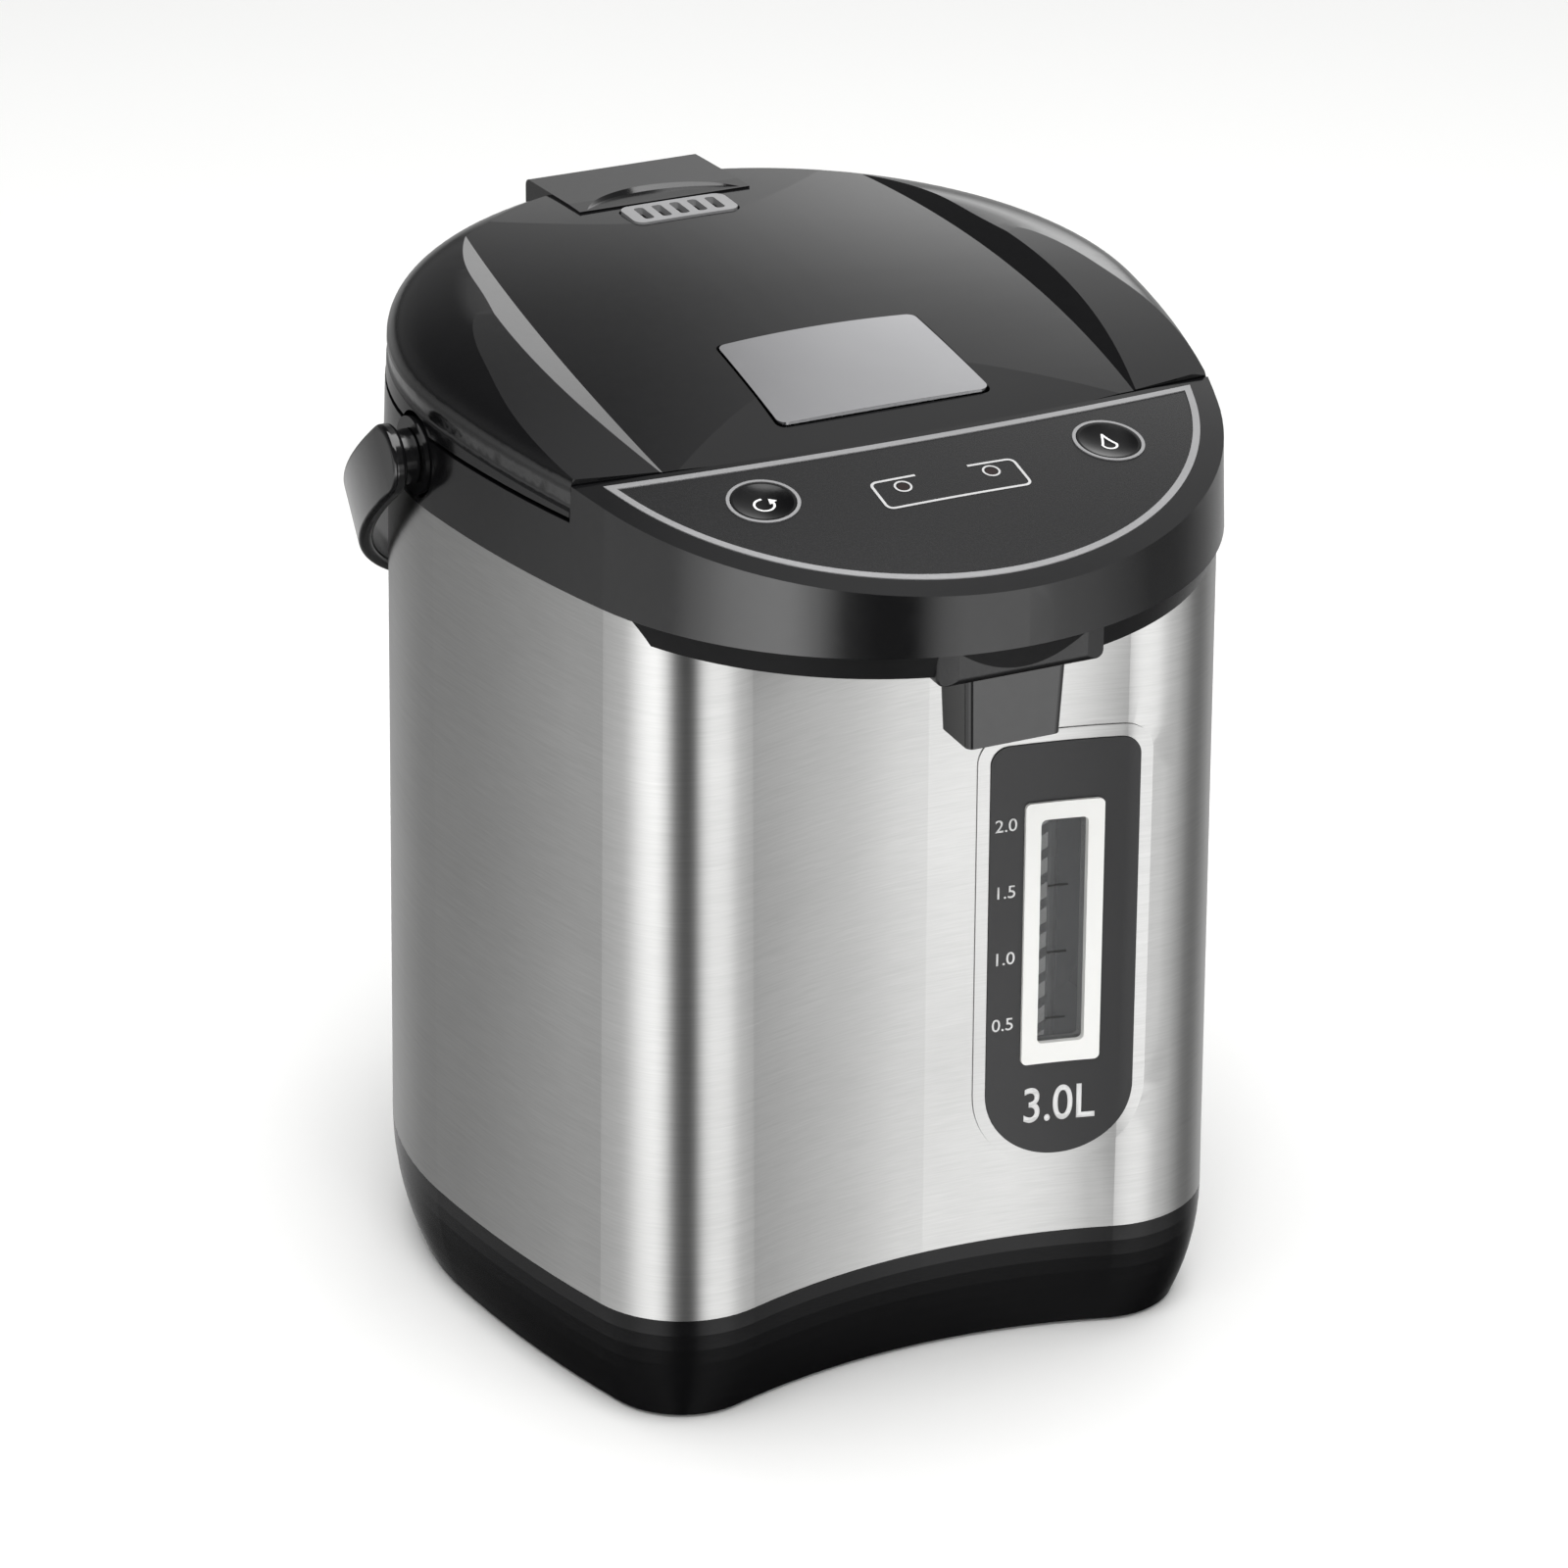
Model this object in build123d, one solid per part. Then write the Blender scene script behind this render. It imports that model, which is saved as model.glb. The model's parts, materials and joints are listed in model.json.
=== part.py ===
from build123d import *

import os
from math import atan2, cos, degrees, hypot, pi, radians, sin, sqrt, tan

# Electric thermo pot of three litres, in millimetres, built as separate pieces.
# +Z is up and the spout faces -Y. The origin lies on the table, under the centre of the
# round back of the body.

# Body plan, at the seam between base and steel shell
back_radius = 106.2
side_radius = 375.0
side_start = 5.7  # degrees forward of the widest point
corner_radius = 29.0
recess_radius = 178.0  # hollow front
recess_reach = 97.0  # from the origin to the middle of the hollow front

# Body heights and walls
seam_height = 33.5
shell_lip = 1.2  # how far the shell reaches up into the head
foot_height = 1.0
base_draw = 6.5  # the skirt draws in by this much at the floor
base_curve = 2.1  # power of the curve that it draws in by
skirt_steps = 7
shell_lean = 0.011  # inward lean per millimetre of height
shell_wall = 0.8
skirt_wall = 2.5
seam_lip = 6.5
fit_gap = 0.05  # between pieces that stay together
part_gap = 0.3  # between pieces that are near each other

# Head: collar round the lid, with the control panel overhanging the front
head_bottom = 234.8
collar_height = 19.2
head_setback = 1.2  # of the head's round back, from the seam of the body
head_front_radius = 93.0
head_front_centre = 57.5
head_lean = 0.04
head_wall = 2.8
deck_rise = 4.2  # from the bottom of the head to the top of the deck
deck_thickness = 2.7
well_inset = 8.0  # lid well, inside the head plan

# Domed top, shared by lid and control panel
dome_apex_y = 54.0
dome_rise = 13.7  # from the crease round the lid to the top of the dome
dome_long_radius = 760.0
dome_cross_radius = 1150.0

# Raised wings of the lid
wing_apex_y = 40.0
wing_rise = 0.2  # over the dome
wing_long_radius = 540.0
wing_cross_radius = 4000.0
crease_inner = ((-75.0, 67.5), (0.0, 68.0), (80.0, 58.0))  # y and half width
crease_outer = ((-75.0, 68.3), (0.0, 76.5), (78.0, 60.0))

# Lid
lid_gap = 0.6  # between the lid's front edge and the control head
lid_seam = 1.2  # between the lid and the collar
rim_rise = 10.6  # from the collar to the crease round the lid
lid_shy = 0.2  # the lid's wall stands this far inside the collar's
rim_tilt = 1.7  # degrees, the crease round the lid rises to the back
shoulder = ((-2.0, -7.0), (0.0, 0.0), (1.0, 3.7), (2.4, 5.6), (4.8, 7.5), (8.5, 9.2), (14.0, 10.8),
            (21.0, 12.0), (30.0, 12.8))  # inset and rise, from the crease inward
liner_seat = 1.1  # flange of the liner, over the collar
liner_sheet = 1.4
lid_wall = 3.0
lid_skin = 2.5
front_reach = 81.0  # from the origin to the middle of the lid's front edge
front_bow_radius = 499.0
tab_width = 51.0
tab_overhang = 5.0  # behind the head
tab_drop = 3.1  # end of the tongue, below the top of the dome
tab_length = 38.0

# Lid hinge
hinge_setback = 8.5  # from the end of the tongue
hinge_drop = 1.1  # below the crease round the lid
pin_radius = 2.0
barrel_radius = 4.6
ear_radius = 6.5
ear_thickness = 5.0
running_gap = 0.05

# Inner pot
pot_room = 19.2  # between the pot and the widest place of the body
mouth_radius = 70.0
pot_y = 9.0
pot_wall = 1.0
pot_floor = 79.0
neck_height = 9.0  # from the shoulder to the flange
shoulder_height = 16.0
flange_width = 3.5
shield_gap = 4.0
heater_radius = 48.0
flange_thickness = 1.0
gasket_squeeze_gap = 0.3

# Steam vent
vent_y = 62.5
vent_width = 31.0
vent_depth = 13.5
vent_corner = 3.0
vent_gap = 0.6
slot_count = 5
slot_width = 2.8
slot_pitch = 5.3
slot_length = 9.0
scoop_radius = 27.5  # hollow behind the vent, which ends in a slope
scoop_y = 57.8
scoop_start = 72.0
scoop_tilt = 9.3  # degrees, floor of the hollow
scoop_slope = 47.0  # degrees, from the floor of the hollow
duct_radius = 8.0

# Latch
latch_rear = -24.5
latch_front = -67.0
latch_rear_width = 57.0
latch_front_width = 60.5
latch_pivot_y = -38.0
latch_pivot_drop = 11.8  # below the top of the dome
latch_gap = 0.6
latch_skin = 1.6
latch_pin_radius = 1.5
hook_width = 16.0
hook_face = -73.5
catch_gap = 0.8
catch_drop = 4.0  # below the top of the collar
catch_thickness = 2.5

# Control panel
trim_inset = 7.2
trim_width = 1.9
trim_front_gap = 2.8
panel_thickness = 1.5
roof_thickness = 2.0
button_x = 49.0
button_y = -97.6
button_radius = 8.3
ring_radius = 9.5
button_flange = 5.4  # from the dome down to the underside of the flange
button_stem = 5.7  # from the dome down to the end of the stem
button_travel = 1.0
switch_gap = 0.2  # left over the switch when the button is down
lamp_x = 12.5
lamp_y = -103.0
lamp_radius = 1.5
board_y = -101.0
board_drop = 11.6
spring_wire = 0.35
board_thickness = 1.6

# Underside and spout
cover_depth = 6.8  # below the head
cover_inset = 1.2
cover_draw = 1.8
cover_wall = 2.2
shroud_depth = 9.4  # below the head
shroud_width = 47.0
shroud_corner = 2.5
shroud_front = 147.5
spout_width = 28.0
spout_front = 144.5
spout_depth = 17.5
spout_length = 19.9
spout_y = -136.0
spout_bore = 3.6

# Level window on the hollow front
window_x = 37.5
strip_width = 40.0
strip_low = 58.0
strip_high = 180.0
strip_proud = 0.8
border_width = 3.5
frame_width = 21.0
frame_low = 86.0
frame_high = 163.0
slot_view_width = 12.6
slot_view_low = 92.0
slot_view_high = 158.0
riser_x = 37.5
riser_setback = 6.0  # behind the hollow front
riser_radius = 3.4
riser_bore = 2.4
hose_radius = 4.8

# Handle
pivot_y = 0.0
pivot_rise = 12.2  # over the bottom of the head
pivot_recess = 11.4
pivot_depth = 4.8  # of the recess, from the head's widest place
boss_radius = 10.2
boss_proud = 0.2
stud_radius = 4.2
handle_standoff = 8.4  # from the end of the boss to the outside of the strap
handle_clearance = 11.2  # from the round back to the outside of the hanging strap
strap_thickness = 4.0
strap_width = 19.0
strap_edge = 1.3  # rounding
hub_radius = 7.4
hang_angle = 36.5

# Pump
pump_x = 14.0
pump_offset = 59.0  # ahead of the middle of the pot
pump_radius = 18.0
pump_low = 48.0
pump_high = 62.0
pump_wall = 2.2
motor_radius = 14.0
motor_low = 14.0
impeller_radius = 13.0

# Power inlet, low on the back
inlet_width = 34.0
inlet_height = 19.0
inlet_z = 18.5
inlet_depth = 17.0
inlet_wall = 2.0
pin_half = 2.0  # radius of an inlet pin
pin_spread = 8.0
pin_length = 14.0

# Base underside
cover_low = 2.6
cover_high = 5.0
foot_radius = 7.0
foot_setback = 19.0
foot_angle = 36.6  # degrees, of the rear feet
front_foot_setback = 36.2
front_foot_y = -72.0
screw_setback = 14.6
screw_angle = 53.9  # degrees, of the rear screws
front_screw_setback = 21.7
front_screw_y = -50.0
screw_radius = 1.5

# Sizes and places that follow from the ones above
head_back_radius = back_radius - head_setback
pot_radius = back_radius - pot_room
flange_radius = mouth_radius + flange_width
shield_radius = pot_radius + shield_gap
pump_y = pot_y - pump_offset
riser_y = riser_setback - recess_reach
handle_reach = (back_radius + handle_clearance) / cos(radians(hang_angle))
shell_top = head_bottom + shell_lip
collar_top = head_bottom + collar_height
deck_height = head_bottom + deck_rise
deck_low = deck_height - deck_thickness
lid_bottom = collar_top + lid_seam
liner_flange_low = collar_top + liner_seat
liner_flange_top = liner_flange_low + liner_sheet
lid_rim = collar_top + rim_rise
dome_apex_z = lid_rim + dome_rise
wing_apex_z = dome_apex_z + wing_rise
tab_reach = head_back_radius + tab_overhang
tab_top = dome_apex_z - tab_drop
hinge_y = tab_reach - hinge_setback
hinge_z = lid_rim - hinge_drop
mouth_low = deck_height - neck_height
pot_shoulder = mouth_low - shoulder_height
latch_pivot_z = dome_apex_z - latch_pivot_drop
catch_low = collar_top - catch_drop
catch_high = catch_low + catch_thickness
cover_bottom = head_bottom - cover_depth
shroud_bottom = head_bottom - shroud_depth
spout_bottom = shroud_bottom - spout_length
pivot_z = head_bottom + pivot_rise
pivot_face = head_back_radius - pivot_depth
boss_end = head_back_radius + boss_proud
handle_half = boss_end + handle_standoff
lid_inset = head_lean * (lid_bottom - head_bottom) + lid_shy
lid_rim_inset = head_lean * (lid_rim - head_bottom) + lid_shy
far = 400.0


# Plan outlines and simple solids

def meet(a, ra, b, rb, upper):
    """Point where two circles cross, the one with more y if upper, otherwise less x."""
    dx, dy = b[0] - a[0], b[1] - a[1]
    d = hypot(dx, dy)
    along = (ra * ra - rb * rb + d * d) / (2 * d)
    off = sqrt(ra * ra - along * along)
    mid = (a[0] + along * dx / d, a[1] + along * dy / d)
    ends = [(mid[0] - s * off * dy / d, mid[1] + s * off * dx / d) for s in (1, -1)]
    if upper:
        return max(ends, key=lambda p: p[1])
    return min(ends, key=lambda p: p[0])


def heading(a, b):
    return atan2(b[1] - a[1], b[0] - a[0])


def arc(centre, radius, start, end):
    """Arc from one angle to another, in radians, with its mid point between them."""
    points = []
    for angle in (start, (start + end) / 2, end):
        points.append((centre[0] + radius * cos(angle), centre[1] + radius * sin(angle)))
    return ThreePointArc(*points)


def mirrored_face(right_arcs):
    """Closed face from the arcs of the right half, given from front to back."""
    edges = list(right_arcs)
    for centre, radius, start, end in right_arcs:
        edges.append(((-centre[0], centre[1]), radius, pi - end, pi - start))
    return make_face([arc(*edge) for edge in edges])


def body_plan(grow):
    """Rounded square with a round back and a hollow front, grown outward by grow."""
    lean = radians(side_start)
    side = (-(side_radius - back_radius) * cos(lean), (side_radius - back_radius) * sin(lean))
    recess = (0.0, -recess_reach - recess_radius)
    corner = meet(side, side_radius - corner_radius, recess, recess_radius + corner_radius, True)
    to_corner = heading(side, corner)
    to_recess = heading(recess, corner)
    return mirrored_face((
        (recess, recess_radius - grow, pi / 2, to_recess),
        (corner, corner_radius + grow, to_recess - pi, to_corner),
        (side, side_radius + grow, to_corner, -lean),
        ((0.0, 0.0), back_radius + grow, -lean, pi / 2),
    ))


def head_plan(grow):
    """Round back and wider round front, joined by slightly bowed sides."""
    front = (0.0, -head_front_centre)
    back = (0.0, 0.0)
    side = meet(back, side_radius - head_back_radius, front, side_radius - head_front_radius, False)
    to_front = heading(side, front)
    to_back = heading(side, back)
    return mirrored_face((
        (front, head_front_radius + grow, -pi / 2, to_front),
        (side, side_radius + grow, to_front, to_back),
        (back, head_back_radius + grow, to_back, pi / 2),
    ))


def prism(plan, low, high):
    return extrude(Pos(0, 0, low) * plan, amount=high - low)


def between(plan, low_grow, low, high_grow, high):
    """Solid whose plan grows evenly from one height to another."""
    return loft([Pos(0, 0, low) * plan(low_grow), Pos(0, 0, high) * plan(high_grow)], ruled=True)


def block(x0, x1, y0, y1, z0, z1):
    return Pos((x0 + x1) / 2, (y0 + y1) / 2, (z0 + z1) / 2) * Box(abs(x1 - x0), y1 - y0, z1 - z0)


def upright(x, y, radius, z0, z1):
    return Pos(x, y, (z0 + z1) / 2) * Cylinder(radius, z1 - z0)


def across(y, z, radius, x0, x1):
    """Cylinder along X."""
    return Pos((x0 + x1) / 2, y, z) * Rot(0, 90, 0) * Cylinder(radius, abs(x1 - x0))


def side_profile(points, half):
    """Prism across the middle from a drawing in Y and Z."""
    face = Plane(origin=(-half, 0, 0), x_dir=(0, 1, 0), z_dir=(1, 0, 0)) * Polygon(*points, align=None)
    return extrude(face, amount=2 * half, dir=(1, 0, 0))


def pipe(points, bend, radius):
    path = FilletPolyline(*points, radius=bend)
    section = Plane(origin=path @ 0, z_dir=path % 0) * Circle(radius)
    return sweep(section, path=path)


def shell_grow(z):
    return -shell_lean * (z - seam_height)


def shell_layer(inner, outer, low, high):
    """Skin that follows the leaning body between two offsets from its outside."""
    out = between(body_plan, outer + shell_grow(low), low, outer + shell_grow(high), high)
    hole = between(body_plan, inner + shell_grow(low - 1), low - 1, inner + shell_grow(high + 1), high + 1)
    return out - hole


# Domed surfaces

def dome_z(x, y):
    """Height of the domed top over a place in the plan."""
    sag = dome_cross_radius - sqrt(dome_cross_radius ** 2 - x * x)
    run = dome_long_radius - sag
    return dome_apex_z - dome_long_radius + sqrt(run * run - (y - dome_apex_y) ** 2)


def wing_z(x, y):
    sag = wing_cross_radius - sqrt(wing_cross_radius ** 2 - x * x)
    run = wing_long_radius - sag
    return wing_apex_z - wing_long_radius + sqrt(run * run - (y - wing_apex_y) ** 2)


def barrel(apex_y, apex_z, long_radius, cross_radius, drop):
    """Solid under a surface curved along and across, lowered by drop."""
    half, depth, sweep_angle = 160.0, 90.0, 44.0
    cross = cross_radius - drop
    top = apex_z - drop
    sag = cross - sqrt(cross * cross - half * half)
    crown = ThreePointArc((-half, 0, top - sag), (0, 0, top), (half, 0, top - sag))
    floor_z = top - depth
    rest = Polyline((half, 0, top - sag), (half, 0, floor_z), (-half, 0, floor_z), (-half, 0, top - sag))
    section = Pos(0, apex_y, 0) * make_face([crown, *rest.edges()])
    axis = Axis((0, apex_y, apex_z - long_radius), (1, 0, 0))
    turned = revolve(section, axis=axis, revolution_arc=sweep_angle)
    return turned.rotate(axis, -sweep_angle / 2)


def dome(drop=0.0):
    return barrel(dome_apex_y, dome_apex_z, dome_long_radius, dome_cross_radius, drop)


def wings():
    return barrel(wing_apex_y, wing_apex_z, wing_long_radius, wing_cross_radius, 0.0)


def dome_plane(x, y):
    """Plane that lies on the dome at a place, with its normal outward."""
    step = 0.5
    slope_x = (dome_z(x + step, y) - dome_z(x - step, y)) / (2 * step)
    slope_y = (dome_z(x, y + step) - dome_z(x, y - step)) / (2 * step)
    return Plane(origin=(x, y, dome_z(x, y)), x_dir=(1, 0, slope_x), z_dir=(-slope_x, -slope_y, 1))


def behind_front(clear, low, high):
    """Round column that holds everything behind the lid's bowed front edge."""
    return upright(0, front_bow_radius - front_reach, front_bow_radius - clear, low, high)


# Base

def four_places(setback, angle, front_setback, front_y):
    """Two places inside the round back and two at the sides ahead of it."""
    rear_x = (back_radius - setback) * cos(radians(angle))
    rear_y = (back_radius - setback) * sin(radians(angle))
    front_x = back_radius - front_setback
    return [(rear_x, rear_y), (-rear_x, rear_y), (front_x, front_y), (-front_x, front_y)]


def screw_places():
    return four_places(screw_setback, screw_angle, front_screw_setback, front_screw_y)


def foot_places():
    return four_places(foot_setback, foot_angle, front_foot_setback, front_foot_y)


def skirt_block(grow, over=0.0):
    """Solid of the base, curving in toward the floor, longer by over at both ends."""
    height = seam_height - foot_height
    sections = []
    for i in range(skirt_steps + 1):
        share = 1 - i / skirt_steps
        z = seam_height - height * share
        if i in (0, skirt_steps):
            z += over if i else -over
        sections.append(Pos(0, 0, z) * body_plan(grow - base_draw * share ** base_curve))
    return loft(sections, ruled=True)


def make_base_skirt():
    skirt = skirt_block(0)
    room = skirt_block(-skirt_wall, 1)
    lip_top = seam_height + seam_lip
    lip_inset = shell_wall + fit_gap
    lip = between(body_plan, -lip_inset, seam_height, -lip_inset + shell_grow(lip_top), lip_top)
    lip_room = between(body_plan, -skirt_wall, seam_height,
                       -skirt_wall + shell_grow(lip_top + 1), lip_top + 1)
    body = skirt + lip - room - lip_room
    inside = skirt_block(-1)
    for x, y in screw_places():
        post = upright(x, y, screw_radius + 3, cover_high + fit_gap, seam_height - 4)
        rib = Rot(0, 0, degrees(atan2(y, x))) * Pos(9, 0, 0) * Box(18, 3, seam_height - 10 - cover_high)
        post += Pos(x, y, (seam_height - 10 + cover_high) / 2 + fit_gap) * rib
        body += post & inside
        body -= upright(x, y, screw_radius + fit_gap, 0, 20)
    body -= inlet_block(part_gap / 3)
    return body


def inlet_block(grow):
    half = inlet_width / 2 + grow
    top = inlet_height / 2 + grow
    return block(-half, half, back_radius - inlet_depth - grow, far, inlet_z - top, inlet_z + top)


def make_bottom_cover():
    cover = prism(body_plan(-base_draw - skirt_wall - part_gap), cover_low, cover_high)
    for x, y in screw_places():
        cover -= upright(x, y, screw_radius + fit_gap, 0, 20)
    for x, y in foot_places():
        cover -= upright(x, y, foot_radius - 2, 0, cover_high - 1)
    for row in range(6):
        y = -12.0 + row * 9.0
        cover -= block(-22, 22, y, y + 4, 0, 20)
    return cover


def make_feet():
    feet = []
    for x, y in foot_places():
        pad = upright(x, y, foot_radius, 0, cover_low)
        feet.append(pad + upright(x, y, foot_radius - 2 - fit_gap, cover_low, cover_high - 1))
    return feet


def make_base_screws():
    screws = []
    for x, y in screw_places():
        head = upright(x, y, screw_radius + 1.4, cover_low - 1.4, cover_low)
        screws.append(head + upright(x, y, screw_radius, cover_low, cover_low + 12))
    return screws


def make_power_inlet():
    half, top = inlet_width / 2, inlet_height / 2
    front = back_radius - inlet_depth
    box = block(-half, half, front, far, inlet_z - top, inlet_z + top)
    room = block(-half + inlet_wall, half - inlet_wall, front + inlet_wall, far,
                 inlet_z - top + inlet_wall, inlet_z + top - inlet_wall)
    inlet = (box - room) & skirt_block(0)
    for x in (-pin_spread, pin_spread):
        inlet -= Pos(x, front, inlet_z) * Rot(90, 0, 0) * Cylinder(pin_half + fit_gap, 2 * inlet_wall + 1)
    return inlet


def make_inlet_pins():
    middle = back_radius - inlet_depth + 1
    pins = []
    for x in (-pin_spread, pin_spread):
        pins.append(Pos(x, middle, inlet_z) * Rot(90, 0, 0) * Cylinder(pin_half, pin_length))
    return pins


def make_power_board():
    rear = back_radius - inlet_depth - 11.2
    low = cover_high + 6
    high = low + board_thickness
    board = block(-38, 38, rear - 48, rear, low, high)
    for x in (-34, 34):
        for y in (rear - 44, rear - 4):
            board += upright(x, y, 3, cover_high, low)
    board += block(-30, -8, rear - 38, rear - 16, high, high + 15.4)
    board += block(0, 16, rear - 42, rear - 28, high, high + 14.4)
    board += block(20, 32, rear - 38, rear - 8, high, high + 9.4)
    board += upright(6, rear - 12, 6, high, high + 13.4)
    return board


# Steel shell and level window

def window_prism(width, low, high, corner):
    """Upright prism toward the front with a round lower end, centred on the window."""
    half = width / 2
    outline = Pos(window_x, (low + high) / 2) * Rectangle(width, high - low)
    outline = outline - Pos(window_x, low) * Rectangle(width + 1, width)
    outline = outline + Pos(window_x, low + half) * Circle(half)
    outline = fillet(outline.vertices().group_by(Axis.Y)[-1], corner)
    return toward_front(outline)


def toward_front(outline):
    """Prism from a drawing in X and Z through the front of the body."""
    face = Plane(origin=(0, 0, 0), x_dir=(1, 0, 0), z_dir=(0, -1, 0)) * outline
    return extrude(Pos(0, -60, 0) * face, amount=80)


def frame_outline(width, low, high, corner):
    return Pos(window_x, (low + high) / 2) * RectangleRounded(width, high - low, corner)


def make_outer_shell():
    shell = shell_layer(-shell_wall, 0, seam_height + fit_gap, shell_top)
    border = shell_layer(-fit_gap, strip_proud / 2, strip_low - 20, strip_high + 20)
    shell += border & window_prism(strip_width + 2 * border_width, strip_low - border_width,
                                   strip_high + border_width, 8)
    shell -= toward_front(frame_outline(frame_width - 4, frame_low + 2, frame_high - 2, 1.5))
    seat = shell_layer(0, 9, strip_low - 5, strip_high + 5)
    shell -= window_prism(strip_width, strip_low, strip_high, 5) & seat
    return shell


def make_level_panel():
    skin = shell_layer(fit_gap, strip_proud, strip_low - 10, strip_high + 10)
    panel = skin & window_prism(strip_width - 2 * fit_gap, strip_low + fit_gap, strip_high - fit_gap, 5)
    return panel - toward_front(frame_outline(frame_width - 4, frame_low + 2, frame_high - 2, 1.5))


def make_window_frame():
    face = shell_layer(strip_proud + fit_gap, strip_proud + 0.9, frame_low - 10, frame_high + 10)
    frame = face & toward_front(frame_outline(frame_width, frame_low, frame_high, 1.5))
    spigot = shell_layer(-2.4, strip_proud + 0.9, frame_low - 10, frame_high + 10)
    inset = 4 + 2 * fit_gap
    frame += spigot & toward_front(frame_outline(frame_width - inset, frame_low + inset / 2,
                                                 frame_high - inset / 2, 1.5))
    return frame - toward_front(frame_outline(slot_view_width, slot_view_low, slot_view_high, 1.5))


def make_window_lens():
    skin = shell_layer(-1.2, 0.2, slot_view_low - 10, slot_view_high + 10)
    trim = 2 * fit_gap
    return skin & toward_front(frame_outline(slot_view_width - trim, slot_view_low + fit_gap,
                                             slot_view_high - fit_gap, 1.5))


def make_level_scale():
    """Printed strip behind the lens, beside the level tube."""
    skin = shell_layer(-2.3, -1.2 - fit_gap, slot_view_low - 5, slot_view_high + 5)
    left = window_x - slot_view_width / 2 + fit_gap
    band = block(left, left + 3.2, -120, -80, slot_view_low + 1, slot_view_high - 1)
    return skin & band


# Inner pot, heater and pump

def round_body(wide, narrow, low, high):
    """Round vessel shape with a conical shoulder below its narrower mouth."""
    points = ((0, low), (wide, low), (wide, pot_shoulder), (narrow, mouth_low), (narrow, high), (0, high))
    section = Plane(origin=(0, pot_y, 0), x_dir=(1, 0, 0), z_dir=(0, -1, 0)) * Polygon(*points, align=None)
    return revolve(section, axis=Axis((0, pot_y, 0), (0, 0, 1)))


def make_inner_pot():
    pot = round_body(pot_radius, mouth_radius, pot_floor, deck_height)
    pot += upright(0, pot_y, flange_radius, deck_height, deck_height + flange_thickness)
    pot -= round_body(pot_radius - pot_wall, mouth_radius - pot_wall, pot_floor + pot_wall, far)
    pot += upright(pump_x, pump_y, 5, pot_floor - 5, pot_floor)
    pot -= upright(pump_x, pump_y, 3.8, pot_floor - 6, pot_floor + 3)
    return pot


def make_pot_strainer():
    low = pot_floor + pot_wall
    dome_part = upright(pump_x, pump_y, 8, low, low + 3)
    dome_part -= upright(pump_x, pump_y, 6.8, low - 1, low + 2)
    for turn in range(6):
        spot = Rot(0, 0, 60 * turn) * Pos(4.2, 0)
        dome_part -= Pos(pump_x, pump_y, low) * spot * Cylinder(1, 10)
    return dome_part


def make_pot_carrier():
    low = seam_height + seam_lip
    plate = prism(body_plan(-skirt_wall - 0.8), low + fit_gap, low + 2)
    plate -= upright(0, pot_y, heater_radius + 2, 0, far)
    plate -= block(pump_x - 24, pump_x + 32, -110, pump_y + 24, 0, far)
    reach = pot_radius - 19
    for angle in (35, 145, 215, 325):
        x = reach * cos(radians(angle))
        y = pot_y + reach * sin(radians(angle))
        plate += upright(x, y, 4, low + 2, pot_floor - fit_gap)
    return plate


def make_heater_plate():
    return upright(0, pot_y, heater_radius, pot_floor - 5, pot_floor - fit_gap)


def make_heating_element():
    """Tube bent into an open ring under the heater plate, with two straight ends."""
    tube = 3.4
    ring = heater_radius - 12
    z = pot_floor - 5 - fit_gap - tube
    whole = Pos(0, pot_y, z) * Torus(ring, tube)
    whole -= block(-9, 9, pot_y, far, z - 9, z + 9)
    for x in (-9 - tube + 0.4, 9 + tube - 0.4):
        y = pot_y + sqrt(ring * ring - x * x)
        whole += upright(x, y, 2.6, z - 12, z)
    return whole


def make_thermostats():
    top = pot_floor - 5 - fit_gap
    cans = []
    for x in (-14.0, 14.0):
        can = upright(x, pot_y - 6, 7.5, top - 7, top)
        cans.append(can + upright(x, pot_y - 6, 5, top - 10, top - 7))
    return cans


def make_heat_shield():
    outer = upright(0, pot_y, shield_radius, pot_floor + 4, deck_low - fit_gap)
    return outer - upright(0, pot_y, shield_radius - 0.6, 0, far)


def outlet_way():
    """Unit direction from pump to level tube, in plan."""
    dx, dy = riser_x - pump_x, riser_y - pump_y
    run = hypot(dx, dy)
    return dx / run, dy / run


def make_pump_housing():
    housing = upright(pump_x, pump_y, pump_radius, pump_low, pump_high)
    housing += upright(pump_x, pump_y, 5, pump_high, pump_high + 5)
    ux, uy = outlet_way()
    z = (pump_low + pump_high) / 2
    start = (pump_x + ux * 14, pump_y + uy * 14, z)
    stub = Plane(origin=start, z_dir=(ux, uy, 0))
    housing += extrude(stub * Circle(3.4), amount=13)
    housing -= upright(pump_x, pump_y, pump_radius - pump_wall, pump_low + pump_wall, pump_high - pump_wall)
    housing -= upright(pump_x, pump_y, 3.6, pump_high - pump_wall - 1, pump_high + 9)
    housing -= upright(pump_x, pump_y, 1.6, pump_low - 1, pump_low + pump_wall + 1)
    housing -= extrude(stub * Circle(2.2), amount=20)
    return housing


def make_pump_motor():
    motor = upright(pump_x, pump_y, motor_radius, motor_low, pump_low - fit_gap)
    motor -= upright(pump_x, pump_y, 1.6, pump_low - 8, pump_low + 1)
    return motor


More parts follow.
